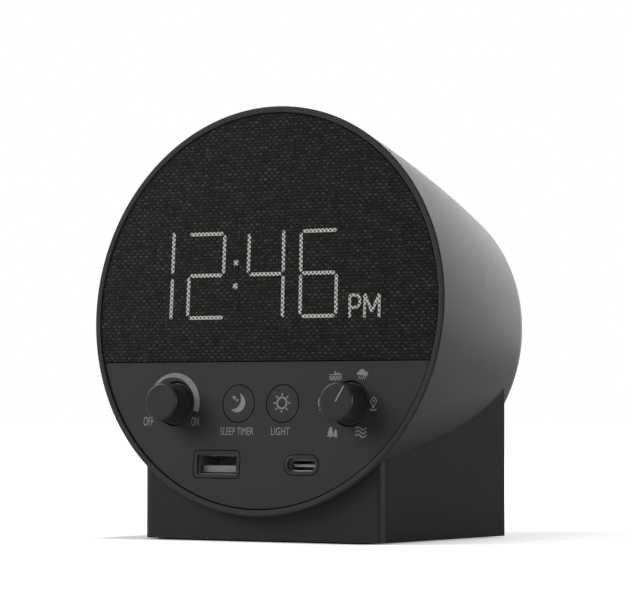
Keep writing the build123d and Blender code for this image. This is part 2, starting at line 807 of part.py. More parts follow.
selector_shaft = make_shaft(knob_x)
selector_shaft.label = "selector_shaft"
export_step(selector_shaft, "parts/selector_shaft.step")

volume_control = make_control(-knob_x, *volume_control_size)
volume_control.label = "volume_control"
export_step(volume_control, "parts/volume_control.step")

selector_switch = make_control(knob_x, *selector_switch_size)
selector_switch.label = "selector_switch"
export_step(selector_switch, "parts/selector_switch.step")

# ---------------------------------------------------------------- front buttons
cap_length = ledge_depth + turn_gap - panel_recess
front_mouth = control_board_depth - front_switch_height
front_stem = front_mouth + stem_reach - (ledge_depth + turn_gap + button_flange)

timer_button = make_button(
    spot(-button_x, controls_y, panel_recess), cap_length, button_d, button_flange_size, front_stem
)
timer_button.label = "timer_button"
export_step(timer_button, "parts/timer_button.step")

dimmer_button = make_button(
    spot(button_x, controls_y, panel_recess), cap_length, button_d, button_flange_size, front_stem
)
dimmer_button.label = "dimmer_button"
export_step(dimmer_button, "parts/dimmer_button.step")

front_mouths = [spot(x, controls_y, front_mouth) for x in (-button_x, button_x)]
front_switches = make_switches(front_mouths, front_switch_height, button_travel)
front_switches.label = "front_switches"
export_step(front_switches, "parts/front_switches.step")

with BuildPart() as control_board:
    with BuildSketch(behind(control_board_depth)):
        with Locations((0, controls_y + control_board_rise)):
            Rectangle(*control_board_size)
        with Locations(*control_screw_points):
            prism(small_hole_d, Mode.SUBTRACT)
    extrude(amount=-board_thickness)
control_board.part.label = "control_board"
export_step(control_board.part, "parts/control_board.step")

control_seats = [rear_spot(x, y, control_board_back) for x, y in control_screw_points]
control_board_screws = make_screws(control_seats, small_head_d, small_head, small_screw_d, board_screw_length)
control_board_screws.label = "control_board_screws"
export_step(control_board_screws, "parts/control_board_screws.step")

# ---------------------------------------------------------------- USB ports
with BuildPart() as usb_a_bezel:
    with BuildSketch(spot(usb_a_x, ports_y, panel_recess)):
        RectangleRounded(usb_a_opening[0] + 2 * bezel_rim, usb_a_opening[1] + 2 * bezel_rim, bezel_corner_r)
    extrude(amount=panel_recess - bezel_back)
    with BuildSketch(spot(usb_a_x, ports_y, ledge_depth)):
        Rectangle(usb_a_hole[0] + 2 * bezel_flange, usb_a_hole[1] - loose_gap)
    extrude(amount=-bezel_flange)
    with BuildSketch(spot(usb_a_x, ports_y, panel_recess)):
        Rectangle(*usb_a_opening)
    extrude(amount=-port_lip, mode=Mode.SUBTRACT)
    with BuildSketch(spot(usb_a_x, ports_y, shell_front)):
        Rectangle(usb_a_shell_size[0] + 2 * fit_gap, usb_a_shell_size[1] + 2 * fit_gap)
    extrude(amount=shell_front - bezel_back, mode=Mode.SUBTRACT)
usb_a_bezel.part.label = "usb_a_bezel"
export_step(usb_a_bezel.part, "parts/usb_a_bezel.step")

usb_a_inside = (usb_a_shell_size[0] - 2 * shell_metal, usb_a_shell_size[1] - 2 * shell_metal)
with BuildPart() as usb_a_shell:
    with BuildSketch(spot(usb_a_x, ports_y, shell_front)):
        Rectangle(*usb_a_shell_size)
        Rectangle(*usb_a_inside, mode=Mode.SUBTRACT)
    extrude(amount=-usb_a_length)
usb_a_shell.part.label = "usb_a_shell"
export_step(usb_a_shell.part, "parts/usb_a_shell.step")

tongue_front = shell_front + usb_a_tongue_setback
tongue_y = ports_y - usb_a_tongue_drop
with BuildPart() as usb_a_tongue:
    with BuildSketch(spot(usb_a_x, ports_y, shell_front + usb_a_length)):
        Rectangle(usb_a_inside[0] - 2 * fit_gap, usb_a_inside[1] - 2 * fit_gap)
    extrude(amount=usb_a_core)
    with BuildSketch(spot(usb_a_x, tongue_y, tongue_front)):
        Rectangle(*usb_a_tongue_size)
    extrude(amount=tongue_front - shell_front - usb_a_length)
usb_a_tongue.part.label = "usb_a_tongue"
export_step(usb_a_tongue.part, "parts/usb_a_tongue.step")

with BuildPart() as usb_a_contacts:
    with BuildSketch(lengthwise(usb_a_x, tongue_y + usb_a_tongue_size[1] / 2)):
        for x in usb_a_contact_x:
            with Locations((x, tongue_front + usb_a_contact_setback)):
                Rectangle(*usb_a_contact_size[:2], align=(Align.CENTER, Align.MIN))
    extrude(amount=usb_a_contact_size[2])
usb_a_contacts.part.label = "usb_a_contacts"
export_step(usb_a_contacts.part, "parts/usb_a_contacts.step")

with BuildPart() as usb_c_bezel:
    with BuildSketch(spot(usb_c_x, ports_y, panel_recess)):
        SlotOverall(usb_c_opening[0] + 2 * bezel_rim, usb_c_opening[1] + 2 * bezel_rim)
    extrude(amount=panel_recess - bezel_back)
    with BuildSketch(spot(usb_c_x, ports_y, ledge_depth)):
        Rectangle(usb_c_hole[0] + 2 * bezel_flange, usb_c_hole[1])
    extrude(amount=-bezel_flange)
    with BuildSketch(spot(usb_c_x, ports_y, panel_recess)):
        SlotOverall(*usb_c_opening)
    extrude(amount=-port_lip, mode=Mode.SUBTRACT)
    with BuildSketch(spot(usb_c_x, ports_y, shell_front)):
        SlotOverall(usb_c_shell_size[0] + 2 * fit_gap, usb_c_shell_size[1] + 2 * fit_gap)
    extrude(amount=shell_front - bezel_back, mode=Mode.SUBTRACT)
usb_c_bezel.part.label = "usb_c_bezel"
export_step(usb_c_bezel.part, "parts/usb_c_bezel.step")

usb_c_inside = (usb_c_shell_size[0] - 2 * shell_metal, usb_c_shell_size[1] - 2 * shell_metal)
usb_c_top = ports_y + usb_c_shell_size[1] / 2 - shell_metal / 2
with BuildPart() as usb_c_shell:
    with BuildSketch(spot(usb_c_x, ports_y, shell_front)):
        SlotOverall(*usb_c_shell_size)
    extrude(amount=-usb_c_length)
    with BuildSketch(lengthwise(usb_c_x, usb_c_top)):
        for x in (-usb_c_leg_x, usb_c_leg_x):
            with Locations((x, shell_front + usb_c_length - usb_c_leg_inset)):
                Rectangle(*usb_c_leg_size)
    extrude(amount=usb_board_bottom - usb_c_top)
    with BuildSketch(spot(usb_c_x, ports_y, shell_front)):
        SlotOverall(*usb_c_inside)
    extrude(amount=-usb_c_length, mode=Mode.SUBTRACT)
usb_c_shell.part.label = "usb_c_shell"
export_step(usb_c_shell.part, "parts/usb_c_shell.step")

with BuildPart() as usb_c_tongue:
    with BuildSketch(spot(usb_c_x, ports_y, shell_front + usb_c_length)):
        Rectangle(usb_c_inside[0] - usb_c_inside[1], usb_c_inside[1] - 2 * fit_gap)
    extrude(amount=usb_c_core)
    with BuildSketch(spot(usb_c_x, ports_y, shell_front + usb_c_tongue_setback)):
        Rectangle(*usb_c_tongue_size)
    extrude(amount=usb_c_tongue_setback - usb_c_length)
usb_c_tongue.part.label = "usb_c_tongue"
export_step(usb_c_tongue.part, "parts/usb_c_tongue.step")

with BuildPart() as usb_board:
    with BuildSketch(lengthwise(0, usb_board_bottom)):
        with Locations((0, usb_board_front)):
            usb_board_width = 2 * (usb_screw_x + usb_board_side)
            Rectangle(usb_board_width, usb_board_depth, align=(Align.CENTER, Align.MIN))
        with Locations(*usb_screw_points):
            prism(small_hole_d, Mode.SUBTRACT)
    extrude(amount=board_thickness)
usb_board.part.label = "usb_board"
export_step(usb_board.part, "parts/usb_board.step")

usb_seats = []
for x, depth in usb_screw_points:
    seat_origin = FACE.from_local_coords((x, usb_board_bottom, -depth))
    usb_seats.append(Plane(origin=seat_origin, x_dir=(1, 0, 0), z_dir=-FACE.y_dir))
usb_board_screws = make_screws(usb_seats, small_head_d, small_head, small_screw_d, usb_screw_length)
usb_board_screws.label = "usb_board_screws"
export_step(usb_board_screws, "parts/usb_board_screws.step")

# ---------------------------------------------------------------- display
display_screw_x = display_width / 2 + display_screw_side
display_screw_points = []
for x in (-display_screw_x, display_screw_x):
    for y in (-display_screw_y, display_screw_y):
        display_screw_points.append((display_x + x, display_y + y))

with BuildPart() as display_module:
    with BuildSketch(spot(display_x, display_y, display_front)):
        Rectangle(display_width, display_height)
    extrude(amount=display_front - display_board_depth)
display_module.part.label = "display_module"
export_step(display_module.part, "parts/display_module.step")

with BuildPart() as display_segments:
    with BuildSketch(behind(display_front)):
        for x, y, width, height in segment_bars():
            with Locations((x, y)):
                Rectangle(width, height)
    extrude(amount=segment_proud)
display_segments.part.label = "display_segments"
export_step(display_segments.part, "parts/display_segments.step")

with BuildPart() as display_board:
    with BuildSketch(behind(display_board_depth)):
        with Locations((display_x, display_y)):
            Rectangle(display_width + 2 * display_board_side, display_height)
        with Locations(*display_screw_points):
            prism(small_hole_d, Mode.SUBTRACT)
    extrude(amount=-board_thickness)
display_board.part.label = "display_board"
export_step(display_board.part, "parts/display_board.step")

display_seats = [spot(x, y, display_board_depth) for x, y in display_screw_points]
display_screws = make_screws(display_seats, small_head_d, small_head, small_screw_d, display_screw_length)
display_screws.label = "display_screws"
export_step(display_screws, "parts/display_screws.step")

# ---------------------------------------------------------------- speaker
speaker_screw_circle = on_circle(speaker_d / 2 - speaker_screw_inset, speaker_screw_angles)
speaker_screw_points = [(x, speaker_y + y) for x, y in speaker_screw_circle]
baffle_r = side_point(baffle_back, shell_wall)[0] - 2 * loose_gap
baffle_bottom = split_y + baffle_drop

with BuildPart() as speaker_baffle:
    with BuildSketch(behind(baffle_depth)):
        Circle(baffle_r)
        with Locations((0, baffle_bottom - baffle_r)):
            Rectangle(baffle_r * 2, baffle_r * 2, mode=Mode.SUBTRACT)
        with Locations((0, speaker_y)):
            Circle(speaker_hole_d / 2, mode=Mode.SUBTRACT)
        with Locations(*baffle_bosses, *speaker_screw_points):
            prism(small_hole_d, Mode.SUBTRACT)
    extrude(amount=-baffle_thickness)
    with BuildSketch(behind(baffle_depth)):
        with Locations(*display_screw_points):
            prism(small_boss_d)
    extrude(amount=baffle_depth - display_board_back)
    with BuildSketch(behind(display_board_back)):
        with Locations(*display_screw_points):
            prism(small_hole_d)
    extrude(amount=-(display_screw_length - board_thickness + loose_gap), mode=Mode.SUBTRACT)
speaker_baffle.part.label = "speaker_baffle"
export_step(speaker_baffle.part, "parts/speaker_baffle.step")

baffle_seats = [spot(x, y, baffle_depth) for x, y in baffle_bosses]
baffle_screws = make_screws(baffle_seats, small_head_d, small_head, small_screw_d, baffle_screw_length)
baffle_screws.label = "baffle_screws"
export_step(baffle_screws, "parts/baffle_screws.step")

flange_back = baffle_back + speaker_flange
surround_outer_d = speaker_hole_d - 2 * loose_gap
neck_depth = baffle_back + cone_depth
magnet_front = baffle_back + magnet_setback
throat_d = coil_d + 2 * loose_gap


def speaker_disc(diameter, front_depth, rear_depth):
    """Length of the speaker with one diameter, drawn with flat sides."""
    with BuildPart() as disc:
        with BuildSketch(spot(0, speaker_y, front_depth)):
            RegularPolygon(diameter / 2, speaker_sides)
        extrude(amount=front_depth - rear_depth)
    return disc.part


def speaker_taper(front_r, front_depth, rear_r, rear_depth, mode=Mode.ADD):
    """Length of the speaker that narrows to the rear, with the same flat sides."""
    angles = [k * 360 / speaker_sides for k in range(speaker_sides)]
    corners = []
    for radius, depth in ((front_r, front_depth), (rear_r, rear_depth)):
        for x, y in on_circle(radius, angles):
            corners.append(FACE.from_local_coords((x, speaker_y + y, -depth)))
    return ConvexPolyhedron(corners, mode=mode)


with BuildPart() as speaker_basket:
    basket_inner_d = surround_outer_d - 2 * speaker_flange
    add(speaker_disc(speaker_d, baffle_back, flange_back))
    add(speaker_disc(surround_outer_d, flange_back, magnet_front))
    add(speaker_disc(basket_inner_d, baffle_back, magnet_front - speaker_flange), mode=Mode.SUBTRACT)
    add(speaker_disc(throat_d, magnet_front - speaker_flange, magnet_front), mode=Mode.SUBTRACT)
    with BuildSketch(behind(baffle_back)):
        with Locations(*speaker_screw_points):
            prism(small_hole_d)
    extrude(amount=-speaker_flange, mode=Mode.SUBTRACT)
speaker_basket.part.label = "speaker_basket"
export_step(speaker_basket.part, "parts/speaker_basket.step")

with BuildPart() as speaker_surround:
    surround_front = baffle_back - surround_thickness
    add(speaker_disc(surround_outer_d, surround_front, baffle_back))
    add(speaker_disc(cone_d, surround_front, baffle_back), mode=Mode.SUBTRACT)
speaker_surround.part.label = "speaker_surround"
export_step(speaker_surround.part, "parts/speaker_surround.step")

with BuildPart() as speaker_cone:
    cone_outer_r = cone_d / 2 + cone_lap
    cone_inner_r = cone_outer_r - cone_wall
    cone_slope = (cone_outer_r - coil_d / 2) / (neck_depth - baffle_back - cone_wall)
    cap_front = neck_depth - cone_cap
    cap_r = cone_inner_r - cone_slope * (cap_front - baffle_back)
    add(speaker_disc(2 * cone_outer_r, baffle_back, baffle_back + cone_wall))
    speaker_taper(cone_outer_r, baffle_back + cone_wall, coil_d / 2, neck_depth)
    speaker_taper(cone_inner_r, baffle_back, cap_r, cap_front, Mode.SUBTRACT)
    add(speaker_disc(coil_d, cap_front, magnet_front - loose_gap))
speaker_cone.part.label = "speaker_cone"
export_step(speaker_cone.part, "parts/speaker_cone.step")

with BuildPart() as speaker_magnet:
    add(speaker_disc(magnet_d, magnet_front, magnet_front + magnet_length))
speaker_magnet.part.label = "speaker_magnet"
export_step(speaker_magnet.part, "parts/speaker_magnet.step")

speaker_seats = [rear_spot(x, y, flange_back) for x, y in speaker_screw_points]
speaker_screws = make_screws(speaker_seats, speaker_head_d, small_head, small_screw_d, speaker_screw_length)
speaker_screws.label = "speaker_screws"
export_step(speaker_screws, "parts/speaker_screws.step")

# ---------------------------------------------------------------- main board at the back
with BuildPart() as main_board:
    with BuildSketch(behind(main_board_depth)):
        with Locations((0, main_board_bottom)):
            Rectangle(main_board_width, main_board_top - main_board_bottom, align=(Align.CENTER, Align.MIN))
        with Locations(*main_board_screw_points):
            prism(small_hole_d, Mode.SUBTRACT)
    extrude(amount=-board_thickness)
main_board.part.label = "main_board"
export_step(main_board.part, "parts/main_board.step")

with BuildPart() as main_board_chips:
    with BuildSketch(behind(main_board_depth)):
        for x, y, width, height in chips:
            with Locations((x, y)):
                Rectangle(width, height)
    extrude(amount=chip_height)
main_board_chips.part.label = "main_board_chips"
export_step(main_board_chips.part, "parts/main_board_chips.step")

main_seats = [spot(x, y, main_board_depth) for x, y in main_board_screw_points]
main_board_screws = make_screws(main_seats, small_head_d, small_head, small_screw_d, main_screw_length)
main_board_screws.label = "main_board_screws"
export_step(main_board_screws, "parts/main_board_screws.step")

rear_mouth = main_board_back + rear_switch_height
rear_switches = make_switches(
    [rear_spot(x, y, rear_mouth) for x, y in rear_button_points], rear_switch_height, rear_button_travel
)
rear_switches.label = "rear_switches"
export_step(rear_switches, "parts/rear_switches.step")

rear_cap_front = cover_outer_depth + rear_button_proud
rear_flange_depth = cover_inner_depth - turn_gap
rear_stem = rear_flange_depth - button_flange - (rear_mouth - stem_reach)
for name, (x, y) in zip(("minute_button", "hour_button", "set_button"), rear_button_points):
    cap_place = rear_spot(x, y, rear_cap_front)
    cap_reach = rear_cap_front - rear_flange_depth
    rear_button = make_button(cap_place, cap_reach, rear_button_d, rear_button_flange_size, rear_stem)
    rear_button.label = name
    export_step(rear_button, f"parts/{name}.step")

with BuildPart() as dc_jack:
    nose_back = cover_outer_depth - dc_nose_setback
    body_back = cover_inner_depth - loose_gap
    with BuildSketch(rear_spot(0, dc_jack_y, body_back)):
        Rectangle(dc_body, dc_body)
    extrude(amount=main_board_back - body_back)
    with BuildSketch(rear_spot(0, dc_jack_y, body_back)):
        Circle(dc_nose_d / 2)
    extrude(amount=nose_back - body_back)
    with BuildSketch(rear_spot(0, dc_jack_y, nose_back)):
        Circle(dc_socket_d / 2)
    extrude(amount=-dc_socket_depth, mode=Mode.SUBTRACT)
dc_jack.part.label = "dc_jack"
export_step(dc_jack.part, "parts/dc_jack.step")

with BuildPart() as dc_pin:
    with BuildSketch(rear_spot(0, dc_jack_y, nose_back - dc_socket_depth)):
        Circle(dc_pin_d / 2)
    extrude(amount=dc_socket_depth - dc_pin_setback)
dc_pin.part.label = "dc_pin"
export_step(dc_pin.part, "parts/dc_pin.step")
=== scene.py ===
import json
import math

import bpy
from bpy.props import FloatProperty, FloatVectorProperty, PointerProperty
from mathutils import Matrix, Vector


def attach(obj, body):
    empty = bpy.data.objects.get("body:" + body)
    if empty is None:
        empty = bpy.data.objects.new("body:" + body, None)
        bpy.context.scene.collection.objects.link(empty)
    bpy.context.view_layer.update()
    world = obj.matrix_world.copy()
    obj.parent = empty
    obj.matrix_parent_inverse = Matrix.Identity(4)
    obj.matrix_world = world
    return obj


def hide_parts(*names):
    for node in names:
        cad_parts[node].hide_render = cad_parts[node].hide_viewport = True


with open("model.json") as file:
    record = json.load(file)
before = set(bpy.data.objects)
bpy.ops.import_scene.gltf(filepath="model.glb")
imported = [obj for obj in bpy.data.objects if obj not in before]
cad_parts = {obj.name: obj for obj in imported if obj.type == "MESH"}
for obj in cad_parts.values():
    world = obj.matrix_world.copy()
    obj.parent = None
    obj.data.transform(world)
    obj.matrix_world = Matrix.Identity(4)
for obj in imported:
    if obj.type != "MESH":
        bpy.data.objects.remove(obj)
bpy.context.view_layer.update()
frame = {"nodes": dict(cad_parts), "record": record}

bl_info = {
    "name": "White noise sound machine",
    "version": (1, 0, 0),
    "blender": (4, 5, 0),
    "location": "3D View > Sidebar > Sound machine",
    "description": "Makes the finished looks of a round sound machine with a clock, on its packed frame",
    "category": "Object",
}

# The head leans back. Its pieces are drawn in millimetres on the face: x to the right,
# y up the face and z out of it.
LEAN = math.radians(4.8)
FACE_CENTRE = Vector((0.0, -0.03065, 0.0639))
FACE_TURN = math.radians(90) - LEAN
HEAD = Matrix.Translation(FACE_CENTRE) @ Matrix.Rotation(FACE_TURN, 4, "X") @ Matrix.Scale(0.001, 4)
BACK = HEAD @ Matrix.Rotation(math.pi, 4, "Y")

# Sizes of the head in millimetres; depths run from the front of the ring into the head
HEAD_RADIUS = 57.0
HEAD_DEPTH = 72.3
TAPER = 14.6
LEDGE_DEPTH = 3.0
SEAM = 0.17
COVER_DEPTH = 71.7
PANEL_DEPTH = 0.5
CLOTH_RADIUS = 55.0
CLOTH_BOTTOM = -14.05
CLOTH_DEPTHS = (0.3, 0.98)
STROKE_DEPTHS = (0.26, 0.32)

# Places on the face, in millimetres from its centre
CONTROLS_Y = -25.9
KNOB_X = 28.5
BUTTON_X = 7.2
PORTS_Y = -42.75
USB_A_X = -13.6

# How far a printed mark reaches into the piece under it, and what counts as one point, in millimetres
MARK_ROOT = 0.02
MERGE = 0.0004

# The camera, in metres
CAMERA_PLACE = (0.48340, -0.78440, 0.03721)
CAMERA_LOOK = (-0.5265, 0.8496, 0.0304)
CAMERA_LENS = 185.96

# The lamps: name, place, aim, width and height in metres, watts, and whether they light matt surfaces
# or show in gloss only
LAMPS = (
    ("key softbox", (-1.02, -0.66, 0.8), (0.0, 0.0, 0.06), 0.9, 0.9, 24.0, True),
    ("top softbox", (0.2, 0.3, 1.15), (0.0, 0.0, 0.06), 1.2, 1.2, 5.5, True),
    ("back softbox", (-0.3, 1.4, 0.29), (0.0, 0.0, 0.06), 1.0, 0.66, 5.4, False),
    ("side softbox", (1.15, -0.42, 0.2), (0.0, 0.0, 0.1), 1.5, 0.7, 22.0, False),
)


# ---------------------------------------------------------------- settings
def length(title, about, value):
    """A length in metres that a user can change."""
    return FloatProperty(
        name=title, description=about, default=value, min=0.0, max=0.5, unit="LENGTH", precision=5
    )


def colour(title, about, value):
    """A colour that a user can change."""
    return FloatVectorProperty(
        name=title, description=about, default=value, size=3, min=0.0, max=1.0, subtype="COLOR"
    )


class SoundMachineSizes(bpy.types.PropertyGroup):
    knob_width: length("Knob width", "Across the front of a knob", 0.0107)
    knob_foot: length("Knob foot", "Across the foot of a knob", 0.0110)
    knob_height: length("Knob height", "From the panel to the front of a knob", 0.0072)
    knob_round: length("Knob edge", "Radius round the front of a knob", 0.00075)
    ring_width: length("Ring width", "Width of the ring round the face", 0.0017)
    ring_nose: length("Ring nose", "Radius of the ring's outer edge", 0.0005)
    side_bulge: length("Side bulge", "How far the side stands out from a straight taper", 0.00093)
    thread_across: length("Warp spacing", "From one upright thread of the cloth to the next", 0.0010)
    thread_up: length("Weft spacing", "From one level thread of the cloth to the next", 0.0009)
    stroke_width: length("Digit stroke", "Width of a lit stroke of the clock", 0.00102)
    mesh_step: length("Light mesh", "Distance between the dark dots in a lit stroke", 0.00127)
    print_height: length("Print thickness", "Thickness of the printed marks", 0.00002)
    edge_round: length("Moulded edge", "Radius along the edges of moulded pieces", 0.00015)


class SoundMachineColours(bpy.types.PropertyGroup):
    shell: colour("Shell", "Moulded plastic of the head", (0.047, 0.047, 0.0472))
    stand: colour("Stand", "Moulded plastic of the stand", (0.0265, 0.0265, 0.0266))
    panel: colour("Panel", "Moulded plastic of the control panel", (0.0238, 0.0237, 0.0235))
    knob: colour("Knob", "Moulded plastic of the knobs", (0.0263, 0.0262, 0.0260))
    # The cloth runs from the dark thread in its gaps, painted shade, to the light thread on the raised thread
    # tops, painted light
    thread_dark: colour("Dark thread", "Shadowed threads of the grille cloth", (0.0060, 0.0059, 0.0056))
    thread_light: colour("Light thread", "Raised threads of the grille cloth", (0.056, 0.054, 0.050))
    marks: colour("Printed marks", "Ink of the letters and signs", (0.185, 0.185, 0.185))
    light: colour("Clock light", "Light of the digits", (0.92, 0.90, 0.87))
    floor: colour("Floor", "The pale floor", (0.76, 0.76, 0.76))


# ---------------------------------------------------------------- materials
class Nodes:
    """Short calls for building the nodes of one material or world."""

    def __init__(self, name, kind="materials", shader="Principled BSDF"):
        self.block = getattr(bpy.data, kind).new(name)
        self.block.use_nodes = True
        self.tree = self.block.node_tree
        self.shader = self.tree.nodes[shader]
        self.made = 0

    def add(self, kind, **settings):
        node = self.tree.nodes.new(kind)
        node.location = (-220 * (1 + self.made % 6), 300 - 180 * (self.made // 6))
        self.made += 1
        for key, value in settings.items():
            setattr(node, key, value)
        return node

    def link(self, source, target):
        self.tree.links.new(source, target)

    def place(self, on_face=False):
        """Coordinates in millimetres: the piece's own, or those of the leaning face."""
        coords = self.add("ShaderNodeTexCoord")
        mapping = self.add("ShaderNodeMapping", vector_type="TEXTURE")
        if on_face:
            mapping.inputs["Location"].default_value = FACE_CENTRE
            mapping.inputs["Rotation"].default_value = (FACE_TURN, 0, 0)
        mapping.inputs["Scale"].default_value = (0.001, 0.001, 0.001)
        self.link(coords.outputs["Object"], mapping.inputs["Vector"])
        return mapping.outputs["Vector"]

    def sum(self, operation, first, second=None, third=None):
        """Math node on numbers or outputs."""
        node = self.add("ShaderNodeMath", operation=operation)
        for socket, value in zip(node.inputs, (first, second, third)):
            if value is None:
                continue
            if isinstance(value, (int, float)):
                socket.default_value = value
            else:
                self.link(value, socket)
        return node.outputs[0]

    def noise(self, vector, size, detail=2.0, roughness=0.5):
        """Noise whose blobs are about size millimetres across."""
        node = self.add("ShaderNodeTexNoise")
        node.inputs["Scale"].default_value = 1.0 / size
        node.inputs["Detail"].default_value = detail
        node.inputs["Roughness"].default_value = roughness
        self.link(vector, node.inputs["Vector"])
        return node.outputs["Fac"]

    def between(self, factor, low, high, start=0.0, end=1.0):
        """Runs from low to high as the factor goes from start to end."""
        node = self.add("ShaderNodeMapRange")
        node.inputs["From Min"].default_value = start
        node.inputs["From Max"].default_value = end
        node.inputs["To Min"].default_value = low
        node.inputs["To Max"].default_value = high
        self.link(factor, node.inputs["Value"])
        return node.outputs["Result"]

    def blend(self, factor, first, second):
        """Mix of two colours."""
        node = self.add("ShaderNodeMix", data_type="RGBA")
        self.link(factor, node.inputs["Factor"])
        for name, value in (("A", first), ("B", second)):
            socket = [s for s in node.inputs if s.name == name and s.type == "RGBA"][0]
            if hasattr(value, "is_linked"):
                self.link(value, socket)
            else:
                socket.default_value = (*value, 1.0)
        return [s for s in node.outputs if s.type == "RGBA"][0]

    def sight(self):
        """1 for what the camera sees straight, and 1 for what shows in gloss or through glass."""
        path = self.add("ShaderNodeLightPath")
        mirrored = self.sum("MAXIMUM", path.outputs["Is Glossy Ray"], path.outputs["Is Transmission Ray"])
        return path.outputs["Is Camera Ray"], mirrored

    def relief(self, height, depth):
        """Bump of a height that runs from 0 to 1, with its depth in millimetres."""
        node = self.add("ShaderNodeBump")
        node.inputs["Distance"].default_value = depth * 0.001
        self.link(height, node.inputs["Height"])
        self.link(node.outputs["Normal"], self.shader.inputs["Normal"])

    def feed(self, **sockets):
        """Lead outputs into the shader's sockets."""
        for key, source in sockets.items():
            self.link(source, self.shader.inputs[key.replace("_", " ")])

    def fix(self, **sockets):
        """Set the shader's sockets to fixed values."""
        for key, value in sockets.items():
            self.shader.inputs[key.replace("_", " ")].default_value = value


def shade(colour, share):
    """A darker or lighter version of a colour."""
    return tuple(min(1.0, max(0.0, c * share)) for c in colour)


def moulded(name, colour, roughness, specular=0.5, grain=0.22, depth=0.012, mottle=0.06):
    """Moulded plastic or rubber: a fine spark-eroded grain, a faint mottle and uneven gloss."""
    n = Nodes(name)
    place = n.place()
    cloud = n.noise(place, 9.0, 3.0)
    fine = n.noise(place, grain, 3.0, 0.6)
    gloss = n.between(n.noise(place, 2.5, 2.0), roughness - 0.04, roughness + 0.04)
    n.feed(Base_Color=n.blend(cloud, shade(colour, 1 - mottle), shade(colour, 1 + mottle)), Roughness=gloss)
    n.relief(fine, depth)
    n.fix(Specular_IOR_Level=specular)
    return n.block


def brushed(name, colour, roughness, streak=(1.0, 1.0, 12.0)):
    """Metal with fine drawn streaks and a little staining."""
    n = Nodes(name)
    place = n.place()
    stretch = n.add("ShaderNodeMapping")
    stretch.inputs["Scale"].default_value = streak
    n.link(place, stretch.inputs["Vector"])
    lines = n.noise(stretch.outputs["Vector"], 0.5, 3.0, 0.6)
    stain = n.noise(place, 3.0, 2.0)
    n.feed(Base_Color=n.blend(stain, shade(colour, 0.86), shade(colour, 1.1)))
    n.feed(Roughness=n.between(lines, roughness - 0.08, roughness + 0.1))
    n.relief(lines, 0.004)
    n.fix(Metallic=1.0)
    return n.block


def circuit_board(name, colour):
    """Solder mask with tracks that show as faint ridges."""
    n = Nodes(name)
    place = n.place()
    cells = n.add("ShaderNodeTexVoronoi", feature="DISTANCE_TO_EDGE")
    cells.inputs["Scale"].default_value = 0.35
    n.link(place, cells.inputs["Vector"])
    tracks = n.between(cells.outputs["Distance"], 1.0, 0.0, 0.04, 0.12)
    n.feed(Base_Color=n.blend(tracks, colour, shade(colour, 2.2)))
    n.feed(Roughness=n.between(n.noise(place, 1.5), 0.3, 0.45))
    n.relief(tracks, 0.02)
    return n.block


